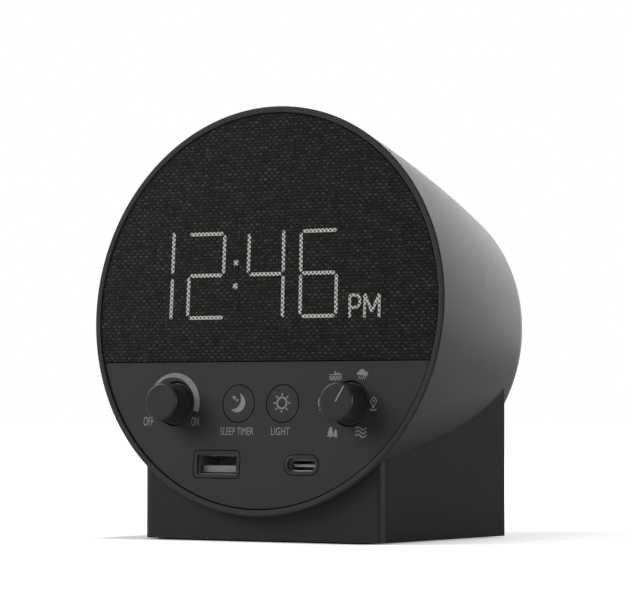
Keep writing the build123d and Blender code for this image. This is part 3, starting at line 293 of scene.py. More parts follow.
def woven(name, dark, light, across, up):
    """Plain weave with slubs: level threads pass over and under the upright ones."""
    n = Nodes(name)
    axes = n.add("ShaderNodeSeparateXYZ")
    place = n.place(on_face=True)
    # The threads wander a little from straight lines
    drift = n.add("ShaderNodeTexNoise")
    drift.inputs["Scale"].default_value = 0.35
    drift.inputs["Detail"].default_value = 5.0
    drift.inputs["Roughness"].default_value = 0.65
    n.link(place, drift.inputs["Vector"])
    wander = n.add("ShaderNodeVectorMath", operation="MULTIPLY_ADD")
    wander.inputs[1].default_value = (1.1, 0.8, 0.0)
    n.link(drift.outputs["Color"], wander.inputs[0])
    n.link(place, wander.inputs[2])
    n.link(wander.outputs["Vector"], axes.inputs["Vector"])
    # u and v count the upright and the level threads
    u = n.sum("DIVIDE", axes.outputs["X"], across)
    v = n.sum("DIVIDE", axes.outputs["Y"], up)
    cos_u = n.sum("COSINE", n.sum("MULTIPLY", u, math.pi))
    cos_v = n.sum("COSINE", n.sum("MULTIPLY", v, math.pi))
    row, column = n.sum("ROUND", v), n.sum("ROUND", u)

    def slub(along, thread, stretch, seed):
        """Noise that changes slowly along a thread and at once from thread to thread."""
        joined = n.add("ShaderNodeCombineXYZ")
        n.link(n.sum("MULTIPLY", along, stretch), joined.inputs["X"])
        n.link(n.sum("MULTIPLY", thread, seed), joined.inputs["Y"])
        return n.noise(joined.outputs["Vector"], 1.0, 2.0, 0.6)

    weft_slub = slub(axes.outputs["X"], row, stretch=0.22, seed=7.31)
    warp_slub = slub(axes.outputs["Y"], column, stretch=0.18, seed=5.17)
    crossing = n.add("ShaderNodeCombineXYZ")
    n.link(column, crossing.inputs["X"])
    n.link(row, crossing.inputs["Y"])
    chance = n.add("ShaderNodeTexWhiteNoise", noise_dimensions="2D")
    n.link(crossing.outputs["Vector"], chance.inputs["Vector"])
    # Which thread lies on top, and how high each one stands
    over = n.sum("MULTIPLY_ADD", n.sum("MULTIPLY", cos_u, cos_v), 0.5, 0.5)
    weft = n.sum("MULTIPLY", n.sum("POWER", n.sum("ABSOLUTE", cos_v), 0.6), n.between(over, 0.25, 1.0))
    warp = n.sum("MULTIPLY", n.sum("POWER", n.sum("ABSOLUTE", cos_u), 0.7), n.sum("SUBTRACT", 1.0, over))
    height = n.sum("MAXIMUM", weft, warp)
    # Colour: lighter on the raised tops of the threads and dark in the gaps between them, which is painted
    # light and shade; also thick and thin threads, chance at each crossing, fibres and faded patches
    fibre = n.noise(place, 0.34, 2.0, 0.6)
    weft_shade = n.sum("MULTIPLY", weft, n.between(weft_slub, 0.5, 1.25, 0.3, 0.7))
    weft_shade = n.sum("MULTIPLY", weft_shade, n.between(chance.outputs["Value"], 0.6, 1.25))
    warp_shade = n.sum("MULTIPLY", warp, n.between(warp_slub, 0.1, 0.7, 0.3, 0.7))
    thread = n.sum("POWER", n.sum("MAXIMUM", weft_shade, warp_shade), 1.5)
    speckle = n.sum("MULTIPLY", thread, n.between(fibre, 0.0, 1.7, 0.35, 0.65))
    patch = n.between(n.noise(place, 5.0, 3.0), 0.7, 1.0, 0.3, 0.7)
    limited = n.sum("MINIMUM", n.sum("MULTIPLY", speckle, patch), 1.0)
    n.feed(Base_Color=n.blend(limited, dark, light))
    n.feed(Roughness=n.between(fibre, 0.85, 1.0))
    n.relief(n.sum("ADD", height, n.sum("MULTIPLY", fibre, 0.3)), 0.16)
    n.fix(Specular_IOR_Level=0.04, Sheen_Weight=0.02, Sheen_Roughness=0.6)
    return n.block


def lit_mesh(name, light, thread, step):
    """Clock light seen through the cloth: bright, with a lattice of dark dots."""
    n = Nodes(name)
    axes = n.add("ShaderNodeSeparateXYZ")
    place = n.place(on_face=True)
    n.link(place, axes.inputs["Vector"])
    turn = 2 * math.pi / step
    cos_u = n.sum("COSINE", n.sum("MULTIPLY", axes.outputs["X"], turn))
    cos_v = n.sum("COSINE", n.sum("MULTIPLY", axes.outputs["Y"], turn))
    dots = n.sum("MULTIPLY", cos_u, cos_v)
    rough = n.sum("ADD", dots, n.between(n.noise(place, 0.5, 2.0), -0.25, 0.25))
    factor = n.between(rough, 1.0, 0.0, -0.35, 0.7)
    n.feed(Base_Color=n.blend(factor, thread, shade(light, 0.16)))
    n.feed(Emission_Color=n.blend(factor, shade(light, 0.02), light))
    n.fix(Emission_Strength=0.38, Roughness=0.9, Specular_IOR_Level=0.1)
    return n.block


def printed(name, colour):
    """Matt ink with a slightly uneven coat."""
    n = Nodes(name)
    place = n.place()
    coat = n.noise(place, 0.35, 3.0, 0.6)
    n.feed(Base_Color=n.blend(coat, shade(colour, 0.88), shade(colour, 1.1)))
    n.feed(Roughness=n.between(coat, 0.55, 0.7))
    n.relief(coat, 0.003)
    n.fix(Specular_IOR_Level=0.25)
    return n.block


# ---------------------------------------------------------------- modelling
def mm(metres):
    """Metres to millimetres."""
    return metres * 1000.0


def named(name):
    """Name the active piece and its mesh."""
    piece = bpy.context.object
    piece.name = piece.data.name = name
    return piece


def only(piece):
    """Select one piece and nothing else."""
    if bpy.context.object and bpy.context.object.mode != "OBJECT":
        bpy.ops.object.mode_set(mode="OBJECT")
    bpy.ops.object.select_all(action="DESELECT")
    piece.select_set(True)
    bpy.context.view_layer.objects.active = piece


def chain(name, points):
    """Join points into a line of edges, left selected in edit mode."""
    bpy.ops.object.select_all(action="DESELECT")
    bpy.ops.mesh.primitive_plane_add(size=1.0)
    piece = named(name)
    bpy.ops.object.mode_set(mode="EDIT")
    bpy.ops.mesh.merge(type="CENTER")
    here = Vector(points[0])
    bpy.ops.transform.translate(value=here)
    for point in points[1:]:
        step = Vector(point) - here
        bpy.ops.mesh.extrude_vertices_move(TRANSFORM_OT_translate={"value": step})
        here = Vector(point)
    bpy.ops.mesh.select_all(action="SELECT")
    return piece


def tidy_edit():
    """Merge what meets and point the faces outwards, then leave edit mode."""
    bpy.ops.mesh.select_all(action="SELECT")
    bpy.ops.mesh.remove_doubles(threshold=MERGE)
    bpy.ops.mesh.normals_make_consistent(inside=False)
    bpy.ops.object.mode_set(mode="OBJECT")


def lathe(name, profile, steps, centre=(0.0, 0.0)):
    """Turn a closed profile of (radius, depth) points round a line straight into the head."""
    points = [(centre[0] + r, centre[1], -d) for r, d in profile]
    piece = chain(name, [*points, points[0]])
    bpy.ops.mesh.spin(
        steps=steps, angle=2 * math.pi, center=(centre[0], centre[1], 0), axis=(0, 0, 1), use_auto_merge=True
    )
    tidy_edit()
    only(piece)
    bpy.ops.object.shade_smooth_by_angle(angle=math.radians(35))
    return piece


def sheet_cut(name, outline, front, rear):
    """Cut an outline on the face out of a sheet between two depths."""
    piece = chain(name, [(x, y, -rear) for x, y in outline])
    bpy.ops.mesh.remove_doubles(threshold=MERGE)
    bpy.ops.mesh.edge_face_add()
    bpy.ops.mesh.extrude_region_move(TRANSFORM_OT_translate={"value": (0, 0, rear - front)})
    tidy_edit()
    return piece


def arc(x, y, radius, start, end, steps):
    """Points along an arc. In a lathe's profile, 0 degrees is outwards and 90 degrees backwards."""
    angles = [math.radians(start + (end - start) * i / steps) for i in range(steps + 1)]
    return [(x + radius * math.cos(a), y + radius * math.sin(a)) for a in angles]


def ribbon(points, width):
    """Outline of a line with a width."""
    half = width / 2
    left, right = [], []
    for i, (x, y) in enumerate(points):
        ahead = Vector(points[min(i + 1, len(points) - 1)])
        behind = Vector(points[max(i - 1, 0)])
        along = (ahead - behind).normalized()
        left.append((x - along.y * half, y + along.x * half))
        right.append((x + along.y * half, y - along.x * half))
    return [*left, *reversed(right)]


def wave(x, y, span, height, humps):
    """Points along a wavy line with its middle at a point."""
    steps = 28
    return [
        (x - span / 2 + span * i / steps, y + height / 2 * math.sin(2 * math.pi * humps * i / steps))
        for i in range(steps + 1)
    ]


def join(name, pieces):
    """Make one piece of several."""
    only(pieces[0])
    for piece in pieces:
        piece.select_set(True)
    bpy.ops.object.join()
    return named(name)


def settle(piece, matrix=HEAD):
    """Put a piece drawn on the face into its place, with its object at the origin."""
    only(piece)
    piece.matrix_world = matrix @ piece.matrix_world
    bpy.ops.object.transform_apply(location=True, rotation=True, scale=True)
    return piece


def finish_piece(piece, body, material, stands_for=()):
    """Give a piece its material and its body, and hide the pieces of the frame that it stands for."""
    piece.data.materials.clear()
    piece.data.materials.append(material)
    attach(piece, body)
    if stands_for:
        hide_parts(*stands_for)


def eased_copy(name, node, width, steps=2, whole_faces=True):
    """Copy a CAD piece, join its loose triangles and round its edges a little."""
    sharp = math.radians(32)
    piece = bpy.data.objects.new(name, frame["nodes"][node].data.copy())
    bpy.context.scene.collection.objects.link(piece)
    only(piece)
    named(name)
    piece.data.materials.clear()
    bpy.ops.object.mode_set(mode="EDIT")
    bpy.ops.mesh.select_all(action="SELECT")
    bpy.ops.mesh.remove_doubles(threshold=0.000002)
    if whole_faces:
        bpy.ops.mesh.dissolve_limited(angle_limit=math.radians(0.5))
    bpy.ops.object.mode_set(mode="OBJECT")
    bevel = piece.modifiers.new("Edges", "BEVEL")
    bevel.width = width
    bevel.segments = steps
    bevel.limit_method = "ANGLE"
    bevel.angle_limit = sharp
    bevel.miter_outer = "MITER_ARC"
    bpy.ops.object.modifier_apply(modifier=bevel.name)
    bpy.ops.object.shade_smooth_by_angle(angle=sharp)
    level = piece.modifiers.new("Level faces", "WEIGHTED_NORMAL")
    level.keep_sharp = True
    bpy.ops.object.modifier_apply(modifier=level.name)
    return piece


def side_profile(bulge, front, rear, steps=28, inset=0.0):
    """Radius and depth along the head's side, with its gentle bulge."""
    found = []
    for i in range(steps + 1):
        depth = front + (rear - front) * i / steps
        share = depth / HEAD_DEPTH
        found.append((HEAD_RADIUS - TAPER * share + 4 * bulge * share * (1 - share) - inset, depth))
    return found


# ---------------------------------------------------------------- finishes
FINISHES = {}


def finishes(context):
    """Every finish, made once: one for each material slot, and those of the ring, USB-C tongue and marks."""
    if FINISHES:
        return FINISHES
    hues = context.scene.sound_machine_colours
    sizes = context.scene.sound_machine_sizes
    FINISHES.update(
        black_shell=moulded("fine matt shell", hues.shell, 0.45, 0.16, grain=0.16, depth=0.006),
        black_ring=moulded("fine matt ring", shade(hues.shell, 0.84), 0.6, 0.02, grain=0.16, depth=0.006),
        black_stand=moulded("fine matt stand", hues.stand, 0.3, 0.08, grain=0.16, depth=0.002),
        black_panel=moulded("fine matt panel", hues.panel, 0.55, 0.12, grain=0.14, depth=0.004, mottle=0.03),
        black_knob=moulded("satin knob", hues.knob, 0.3, 0.15, grain=0.14, depth=0.002, mottle=0.03),
        grille_fabric=woven(
            "slub weave",
            hues.thread_dark,
            hues.thread_light,
            across=mm(sizes.thread_across),
            up=mm(sizes.thread_up),
        ),
        inner_plastic=moulded("plain inner plastic", (0.03, 0.03, 0.03), 0.6, 0.3, grain=0.4),
        rubber_pad=moulded("foot rubber", (0.018, 0.018, 0.018), 0.8, 0.25, grain=0.3, depth=0.02),
        screw_steel=brushed("blackened screw steel", (0.06, 0.06, 0.062), 0.42),
        port_plastic=moulded("port bezel", (0.021, 0.021, 0.021), 0.45, 0.15, grain=0.12, depth=0.003),
        port_metal=brushed("plated port shell", (0.25, 0.25, 0.26), 0.45, (1.0, 8.0, 1.0)),
        tongue_plastic=moulded("port tongue", (0.15, 0.15, 0.15), 0.5, 0.4, grain=0.2, depth=0.004),
        pale_tongue=moulded("pale port tongue", (0.26, 0.26, 0.26), 0.5, 0.4, grain=0.2, depth=0.004),
        contact_gold=brushed("gold contact", (0.42, 0.33, 0.18), 0.4, (6.0, 1.0, 1.0)),
        board=circuit_board("green solder mask", (0.012, 0.07, 0.03)),
        chip=moulded("chip body", (0.02, 0.02, 0.021), 0.55, 0.4, grain=0.12),
        display_glass=moulded("smoked window", (0.006, 0.006, 0.007), 0.2, 0.5, grain=2.0, depth=0.002),
        display_light=lit_mesh("lit bars", hues.light, hues.thread_dark, mm(sizes.mesh_step)),
        speaker_steel=moulded("painted speaker steel", (0.03, 0.03, 0.03), 0.4, 0.5, grain=0.5),
        speaker_paper=moulded(
            "pulp cone", (0.045, 0.044, 0.042), 0.85, 0.2, grain=0.5, depth=0.06, mottle=0.2
        ),
        speaker_rubber=moulded("cone surround", (0.02, 0.02, 0.02), 0.6, 0.4, grain=0.4),
        magnet_ferrite=moulded(
            "sintered magnet", (0.07, 0.068, 0.066), 0.6, 0.4, grain=0.3, depth=0.02, mottle=0.2
        ),
        control_metal=brushed("turned shaft", (0.6, 0.6, 0.6), 0.3),
        marks=printed("grey ink", hues.marks),
    )
    return FINISHES


class SOUND_MACHINE_OT_inner_pieces(bpy.types.Operator):
    """Give every piece of the frame the finish of its material slot, and the USB-C tongue a paler one"""

    bl_idname = "sound_machine.inner_pieces"
    bl_label = "Frame finishes"

    def execute(self, context):
        made = finishes(context)
        for part in frame["record"]["subparts"]:
            node = frame["nodes"][part["node"]]
            if not node.data.materials:
                node.data.materials.append(None)
            for held in node.material_slots:
                held.link = "OBJECT"
                held.material = made[part["material_slot"]]
        for held in frame["nodes"]["usb_c_tongue"].material_slots:
            held.material = made["pale_tongue"]
        return {"FINISHED"}


class SOUND_MACHINE_OT_head_shell(bpy.types.Operator):
    """Turn the tapered shell of the head, with its rolled rear edge and the ledge inside its front"""

    bl_idname = "sound_machine.head_shell"
    bl_label = "Head shell"

    def execute(self, context):
        sizes = context.scene.sound_machine_sizes
        front, bulge = mm(sizes.ring_nose) + SEAM, mm(sizes.side_bulge)
        roll = 0.6
        outer = side_profile(bulge, front, 71.5)
        rim = arc(41.75, HEAD_DEPTH - roll, roll, 20, 90, 6)
        rebate = [(40.05, HEAD_DEPTH), (40.05, 69.3), (38.05, 69.3), (38.05, 66.0)]
        inside = reversed(side_profile(bulge, 6.0, 62.0, steps=10, inset=2.4))
        ledge = [(53.5, LEDGE_DEPTH), (55.85, LEDGE_DEPTH), (55.85, front + 0.2), (55.95, front)]
        shell = lathe("head_shell", [*outer, *rim, *rebate, *inside, *ledge], 224)
        settle(shell)
        finish_piece(shell, "main", finishes(context)["black_shell"], ["housing"])
        return {"FINISHED"}


class SOUND_MACHINE_OT_face_ring(bpy.types.Operator):
    """Turn the ring that frames the face"""

    bl_idname = "sound_machine.face_ring"
    bl_label = "Face ring"

    def execute(self, context):
        sizes = context.scene.sound_machine_sizes
        inside = HEAD_RADIUS - mm(sizes.ring_width)
        nose, small = mm(sizes.ring_nose), 0.12
        inner_edge = arc(inside + small, small, small, 180, 270, 4)
        outer_edge = arc(HEAD_RADIUS - nose, nose, nose, 270, 360, 12)
        skirt = [(56.95, nose + 0.02), (55.8, nose + 0.02), (55.8, LEDGE_DEPTH), (inside, LEDGE_DEPTH)]
        ring = lathe("face_ring", [*inner_edge, *outer_edge, *skirt], 224)
        settle(ring)
        finish_piece(ring, "main", finishes(context)["black_ring"], ["front_ring"])
        return {"FINISHED"}


class SOUND_MACHINE_OT_moulded_pieces(bpy.types.Operator):
    """Copy the moulded pieces of the frame with softly rounded edges"""

    bl_idname = "sound_machine.moulded_pieces"
    bl_label = "Moulded pieces"

    def execute(self, context):
        made = finishes(context)
        edge = context.scene.sound_machine_sizes.edge_round
        for name, node, width, finish in (
            ("stand_shell", "stand_base", edge * 1.6, "black_stand"),
            ("bottom_plate", "base_plate", edge * 1.5, "inner_plastic"),
            ("rubber_foot", "foot_pad", edge * 1.6, "rubber_pad"),
            ("back_cover", "rear_cover", edge * 1.2, "black_shell"),
            ("panel_plate", "control_panel", edge * 1.2, "black_panel"),
            ("usb_a_rim", "usb_a_bezel", edge * 2.2, "port_plastic"),
            ("usb_c_rim", "usb_c_bezel", edge * 2.2, "port_plastic"),
            ("power_socket", "dc_jack", edge, "port_plastic"),
        ):
            # Joining flat faces would close the oval opening of the USB-C bezel
            piece = eased_copy(name, node, width, whole_faces=node != "usb_c_bezel")
            finish_piece(piece, "main", made[finish], [node])
        return {"FINISHED"}


class SOUND_MACHINE_OT_grille_cloth(bpy.types.Operator):
    """Stretch the woven cloth over the grille frame"""

    bl_idname = "sound_machine.grille_cloth"
    bl_label = "Grille cloth"

    def execute(self, context):
        reach = math.degrees(math.asin(-CLOTH_BOTTOM / CLOTH_RADIUS))
        outline = arc(0, 0, CLOTH_RADIUS, -reach, 180 + reach, 180)
        cloth = sheet_cut("woven_cloth", outline, *CLOTH_DEPTHS)
        only(cloth)
        bevel = cloth.modifiers.new("Turned edge", "BEVEL")
        bevel.width = 0.2
        bevel.segments = 4
        bevel.limit_method = "ANGLE"
        bevel.angle_limit = math.radians(60)
        bpy.ops.object.modifier_apply(modifier=bevel.name)
        bpy.ops.object.shade_smooth_by_angle(angle=math.radians(30))
        settle(cloth)
        finish_piece(cloth, "main", finishes(context)["grille_fabric"], ["grille_cloth"])
        return {"FINISHED"}


class SOUND_MACHINE_OT_clock_light(bpy.types.Operator):
    """Draw the lit strokes of the clock where they show through the cloth"""

    bl_idname = "sound_machine.clock_light"
    bl_label = "Clock light"

    def execute(self, context):
        width = mm(context.scene.sound_machine_sizes.stroke_width)
        top, middle, bottom = 21.7, 10.0, -1.87
        strokes = []

        def leaning(x, y):
            """Lean a point of the clock, and less so to the left of the 4's right bar."""
            lean, shift = (0.012, 0.25) if x < 3 else (0.034, 0.0)
            return x + shift + lean * (middle - y), y

        def stroke(x0, y0, x1, y1):
            """One bar with pointed ends."""
            a, b = Vector((x0, y0)), Vector((x1, y1))
            along = (b - a).normalized()
            side = Vector((-along.y, along.x)) * width / 2
            tip = along * width / 2
            corners = [a, a + tip + side, b - tip + side, b, b - tip - side, a + tip - side]
            outline = [leaning(p.x, p.y) for p in corners]
            strokes.append(sheet_cut("stroke", outline, *STROKE_DEPTHS))

        def upright(x, *halves):
            for high, low in halves:
                stroke(x, high, x, low)

        gap = 0.35
        upper, lower = (top - gap, middle + gap), (middle - gap, bottom + gap)
        upright(-31.5, (22.6, 10.55), (9.35, -2.3))
        # Each digit: its left and right side, its upright bars (side, ends), and its level bars
        # (height, how much is cut off at the left and at the right)
        two = (
            (-25.9, -14.35),
            ((1, upper), (0, lower)),
            ((top, -0.2, gap), (middle, gap, gap), (bottom, gap, -0.35)),
        )
        four = (
            (-6.15, 5.6),
            ((0, (21.5, middle + gap)), (1, (22.2, middle + gap)), (1, (middle - gap, -2.2))),
            ((middle, gap, gap),),
        )
        six = (
            (11.3, 22.8),
            ((0, upper), (0, lower), (1, lower)),
            ((top, gap, 0.0), (middle, gap, gap), (bottom, gap, gap)),
        )
        for sides, uprights, levels in (two, four, six):
            for side, ends in uprights:
                upright(sides[side], ends)
            for level, start, end in levels:
                stroke(sides[0] + start, level, sides[1] - end, level)
        for y in (13.4, 6.9):
            dot = arc(*leaning(-10.3, y), 0.85, 0, 345, 23)
            strokes.append(sheet_cut("stroke", dot, *STROKE_DEPTHS))
        letters = (
            [(27.2, -2.5), (27.2, 3.65), (29.4, 3.65), (30.4, 2.75), (30.4, 1.25), (29.4, 0.3), (27.2, 0.3)],
            [(31.9, -2.5), (31.9, 3.9), (34.2, -0.9), (36.5, 3.9), (36.5, -2.5)],
        )
        for line in letters:
            for (x0, y0), (x1, y1) in zip(line, line[1:]):
                run = ribbon([leaning(x0, y0), leaning(x1, y1)], width * 0.8)
                strokes.append(sheet_cut("stroke", run, *STROKE_DEPTHS))
        glow = settle(join("clock_light", strokes))
        finish_piece(glow, "main", finishes(context)["display_light"], ())
        return {"FINISHED"}


def knob(name, x, sizes):
    """Turned knob: flat front, rounded edge, slight taper and a thin flange in its hole."""
    front, foot = mm(sizes.knob_width) / 2, mm(sizes.knob_foot) / 2
    tip, edge = PANEL_DEPTH - mm(sizes.knob_height), mm(sizes.knob_round)
    cap = [(0.0, tip), (front - edge - 0.1, tip), *arc(front - edge, tip + edge, edge, 270, 360, 12)]
    flange = [(5.88, 1.0), (5.95, 1.07), (5.95, 2.1), (0.0, 2.1)]
    return lathe(name, [*cap, (foot, 0.6), (foot + 0.06, 0.9), *flange], 96, (x, CONTROLS_Y))


class SOUND_MACHINE_OT_knobs(bpy.types.Operator):
    """Turn the volume knob and the sound selector with its pointer line"""

    bl_idname = "sound_machine.knobs"
    bl_label = "Knobs"

    def execute(self, context):
        sizes = context.scene.sound_machine_sizes
        made = finishes(context)
        volume = settle(knob("volume_dial_knob", -KNOB_X, sizes))
        finish_piece(volume, "volume_dial", made["black_knob"], ["volume_knob"])
        selector = settle(knob("sound_dial_knob", KNOB_X, sizes))
        finish_piece(selector, "selector_dial", made["black_knob"], ["selector_knob"])
        tip = PANEL_DEPTH - mm(sizes.knob_height)
        angle, reach, width = math.radians(60), 4.7, 0.44
        start = Vector((KNOB_X, CONTROLS_Y))
        end = start + Vector((math.cos(angle), math.sin(angle))) * reach
        pointer = sheet_cut("pointer_line", ribbon([tuple(start), tuple(end)], width), tip - 0.01, tip + 0.05)
        settle(pointer)
        finish_piece(pointer, "selector_dial", made["marks"])
        return {"FINISHED"}


class SOUND_MACHINE_OT_buttons(bpy.types.Operator):
    """Round the caps of the two front buttons and the three rear ones, and print the moon and the sun"""

    bl_idname = "sound_machine.buttons"
    bl_label = "Buttons"

    def execute(self, context):
        made = finishes(context)
        edge = context.scene.sound_machine_sizes.edge_round
        for node, body in (
            ("timer_button", "timer_key"),
            ("dimmer_button", "dimmer_key"),
            ("minute_button", "minute_key"),
            ("hour_button", "hour_key"),
            ("set_button", "set_key"),
        ):
            cap = eased_copy(node.replace("button", "cap"), node, edge, 3)
            finish_piece(cap, body, made["black_panel"], [node])
        top, root = PANEL_DEPTH - mm(context.scene.sound_machine_sizes.print_height), PANEL_DEPTH + MARK_ROOT
        moon_x, moon_y = -BUTTON_X - 0.48, CONTROLS_Y + 0.24
        outer = arc(moon_x, moon_y, 2.65, 76, -137, 40)
        inner = arc(moon_x - 1.55, moon_y + 0.91, 2.75, -98, 37, 32)
        marks = [sheet_cut("mark", [*outer, *inner], top, root)]
        # Two five-pointed stars beside the moon
        for x, y, size in ((-1.02, 1.44, 0.75), (-0.07, 0.71, 0.55)):
            star = []
            for i in range(10):
                reach = size if i % 2 == 0 else size * 0.45
                angle = math.radians(90 + 36 * i)
                star.append((moon_x + x + reach * math.cos(angle), moon_y + y + reach * math.sin(angle)))
            marks.append(sheet_cut("mark", star, top, root))
        moon = settle(join("moon_mark", marks))
        finish_piece(moon, "timer_key", made["marks"])
        sun_x, sun_y = BUTTON_X - 0.24, CONTROLS_Y + 0.18
        ring = [(1.27, top), (1.76, top), (1.76, root), (1.27, root)]
        marks = [lathe("mark", ring, 40, (sun_x, sun_y))]
        # Eight short rays that narrow outwards
        for i in range(8):
            angle = math.radians(45 * i + 90)
            along = Vector((math.cos(angle), math.sin(angle)))
            side = Vector((-along.y, along.x))
            centre = Vector((sun_x, sun_y))
            corners = ((2.05, 0.3), (2.05, -0.3), (2.72, -0.16), (2.72, 0.16))
            ray = [tuple(centre + along * out + side * aside) for out, aside in corners]
            marks.append(sheet_cut("mark", ray, top, root))
        sun = settle(join("sun_mark", marks))
        finish_piece(sun, "dimmer_key", made["marks"])
        return {"FINISHED"}


def lettering(words, x, y, height, width):
    """Narrow capitals, printed on the panel with their middle at a point."""
    bpy.ops.object.select_all(action="DESELECT")
    bpy.ops.object.text_add(location=(0, 0, 0))
    piece = bpy.context.object
    piece.data.body = words
    piece.data.align_x, piece.data.align_y = "CENTER", "CENTER"
    piece.data.size = 1.0
    piece.data.space_character = 1.05
    piece.data.extrude = 0.0
    bpy.ops.object.convert(target="MESH")
    piece = named("mark")
    low = [min(v.co[i] for v in piece.data.vertices) for i in range(2)]
    high = [max(v.co[i] for v in piece.data.vertices) for i in range(2)]
    bpy.ops.object.mode_set(mode="EDIT")
    bpy.ops.mesh.select_all(action="SELECT")
    bpy.ops.mesh.remove_doubles(threshold=0.0001)
    bpy.ops.transform.translate(value=(-(low[0] + high[0]) / 2, -(low[1] + high[1]) / 2, 0))
    bpy.ops.transform.resize(
        value=(width / (high[0] - low[0]), height / (high[1] - low[1]), 1.0), center_override=(0, 0, 0)
    )
    bpy.ops.transform.translate(value=(x, y, -PANEL_DEPTH - MARK_ROOT))
    bpy.ops.mesh.extrude_region_move(TRANSFORM_OT_translate={"value": (0, 0, 2 * MARK_ROOT)})
    tidy_edit()
    return piece


class SOUND_MACHINE_OT_panel_marks(bpy.types.Operator):
    """Print the volume scale, the words and the sound signs on the panel"""

    bl_idname = "sound_machine.panel_marks"
    bl_label = "Panel marks"

    def execute(self, context):
        top, root = PANEL_DEPTH - mm(context.scene.sound_machine_sizes.print_height), PANEL_DEPTH + MARK_ROOT
        marks = []

        def print_shape(outline):
            marks.append(sheet_cut("mark", outline, top, root))

        # volume scale, which gets wider towards its loud end
        volume_x = -KNOB_X - 0.35
        quiet, loud, steps = 196, -15.7, 40
        outer = arc(volume_x, CONTROLS_Y, 8.65, loud, quiet, 60)
        inner = []
        for i in range(steps + 1):
            angle = quiet - (quiet - loud) * i / steps
            reach = 7.85 if angle > 150 else 6.88 + 0.92 * max(0.0, min(1.0, (angle - 50) / 70))
            turned = math.radians(angle)
            inner.append((volume_x + reach * math.cos(turned), CONTROLS_Y + reach * math.sin(turned)))
        print_shape([*outer, *inner])
        for words, x, y, height, width in (
            ("OFF", -37.15, -30.88, 2.45, 3.4),
            ("ON", -21.4, -30.85, 2.45, 2.5),
            ("SLEEP TIMER", -7.35, -33.57, 2.15, 10.9),
            ("LIGHT", 6.85, -33.51, 2.15, 6.0),
        ):
            marks.append(lettering(words, x, y, height, width))
        # surf, upper left
        x, y = 23.85, -18.25
        crest = [(-2.2, 0.35), (-1.9, 0.1), (1.9, 0.1), (2.2, 0.4), (1.75, 0.3), (1.25, 0.85), (1.05, 0.3)]
        crest += [(0.6, 1.1), (0.3, 0.3), (-0.25, 1.4), (-0.5, 0.35), (-1.4, 0.3)]
        print_shape([(x + a, y + b) for a, b in crest])
        for level in (-0.45, -1.05):
            print_shape(ribbon(wave(x, y + level, 3.9, 0.42, 3.5), 0.3))
        # rain cloud, upper right
        x, y = 32.35, -18.09
        cloud = [(-1.75, 0.0), *arc(-1.15, 0.25, 0.62, 200, 75, 6)]
        cloud += arc(-0.15, 0.75, 0.85, 165, 20, 9) + arc(1.15, 0.25, 0.62, 80, -60, 7)
        print_shape([(x + a, y + b) for a, b in cloud])
        for dx in (-1.1, -0.45, 0.2, 0.85):
            print_shape(ribbon([(x + dx + 0.22, y - 0.35), (x + dx - 0.12, y - 1.25)], 0.24))
        # lantern, right
        x, y = 36.18, -25.94
        lamp = [(0, 1.9), (1.05, 0.75), (0.42, -0.35), (-0.42, -0.35), (-1.05, 0.75)]
        for (ax, ay), (bx, by) in zip(lamp, lamp[1:] + lamp[:1]):
            print_shape(ribbon([(x + ax, y + ay), (x + bx, y + by)], 0.28))
        print_shape(arc(x, y + 0.75, 0.36, 0, 330, 11))
        print_shape([(x - 0.36, y - 0.4), (x + 0.36, y - 0.4), (x + 0.36, y - 1.25), (x - 0.36, y - 1.25)])
        print_shape(ribbon(arc(x, y + 0.35, 2.1, -120, -60, 10), 0.42))
        # fir trees, lower left
        x, y = 23.48, -33.56
        tiers = [(0, 1.0), (0.3, 0.68), (0.16, 0.68), (0.42, 0.4), (0.24, 0.4), (0.5, 0.1), (0.1, 0.1)]
        tiers += [(0.1, 0.0)]
        for dx, tall, wide in ((-0.45, 3.1, 2.4), (1.15, 2.4, 1.5)):
            half = [(a * wide, b * tall) for a, b in tiers]
            tree = half + [(-a, b) for a, b in reversed(half[1:])]
            print_shape([(x + dx + a, y - 1.58 + b) for a, b in tree])
        # brook, lower right
        x, y = 32.66, -33.65
        for level in (1.0, 0.0, -1.0):
            print_shape(ribbon(wave(x, y + level, 3.5, 0.75, 1.1), 0.4))
        # fan, left, mostly behind the knob
        x, y = 20.35, -25.5
        print_shape(ribbon(arc(x, y, 1.6, 70, 290, 24), 0.34))
        print_shape(ribbon([(x - 1.5, y), (x - 0.4, y)], 0.3))
        print_shape(arc(x - 1.0, y - 2.1, 0.25, 0, 330, 9))
        sheet = settle(join("panel_marks", marks))
        finish_piece(sheet, "main", finishes(context)["marks"])
        return {"FINISHED"}


def cut_slot(head, x, y, height, angle):
    """Cut one arm of a cross slot into a screw head."""
    bpy.ops.object.select_all(action="DESELECT")
    bpy.ops.mesh.primitive_cube_add(size=1.0, location=(x, y, height), rotation=(0, 0, math.radians(angle)))
    slot = bpy.context.object
    slot.scale = (2.5, 0.6, 1.5)
    bpy.ops.object.transform_apply(location=True, rotation=True, scale=True)
    cut = head.modifiers.new("Slot", "BOOLEAN")
    cut.operation = "DIFFERENCE"
    cut.object = slot
    only(head)
    bpy.ops.object.modifier_apply(modifier=cut.name)
    bpy.data.objects.remove(slot)


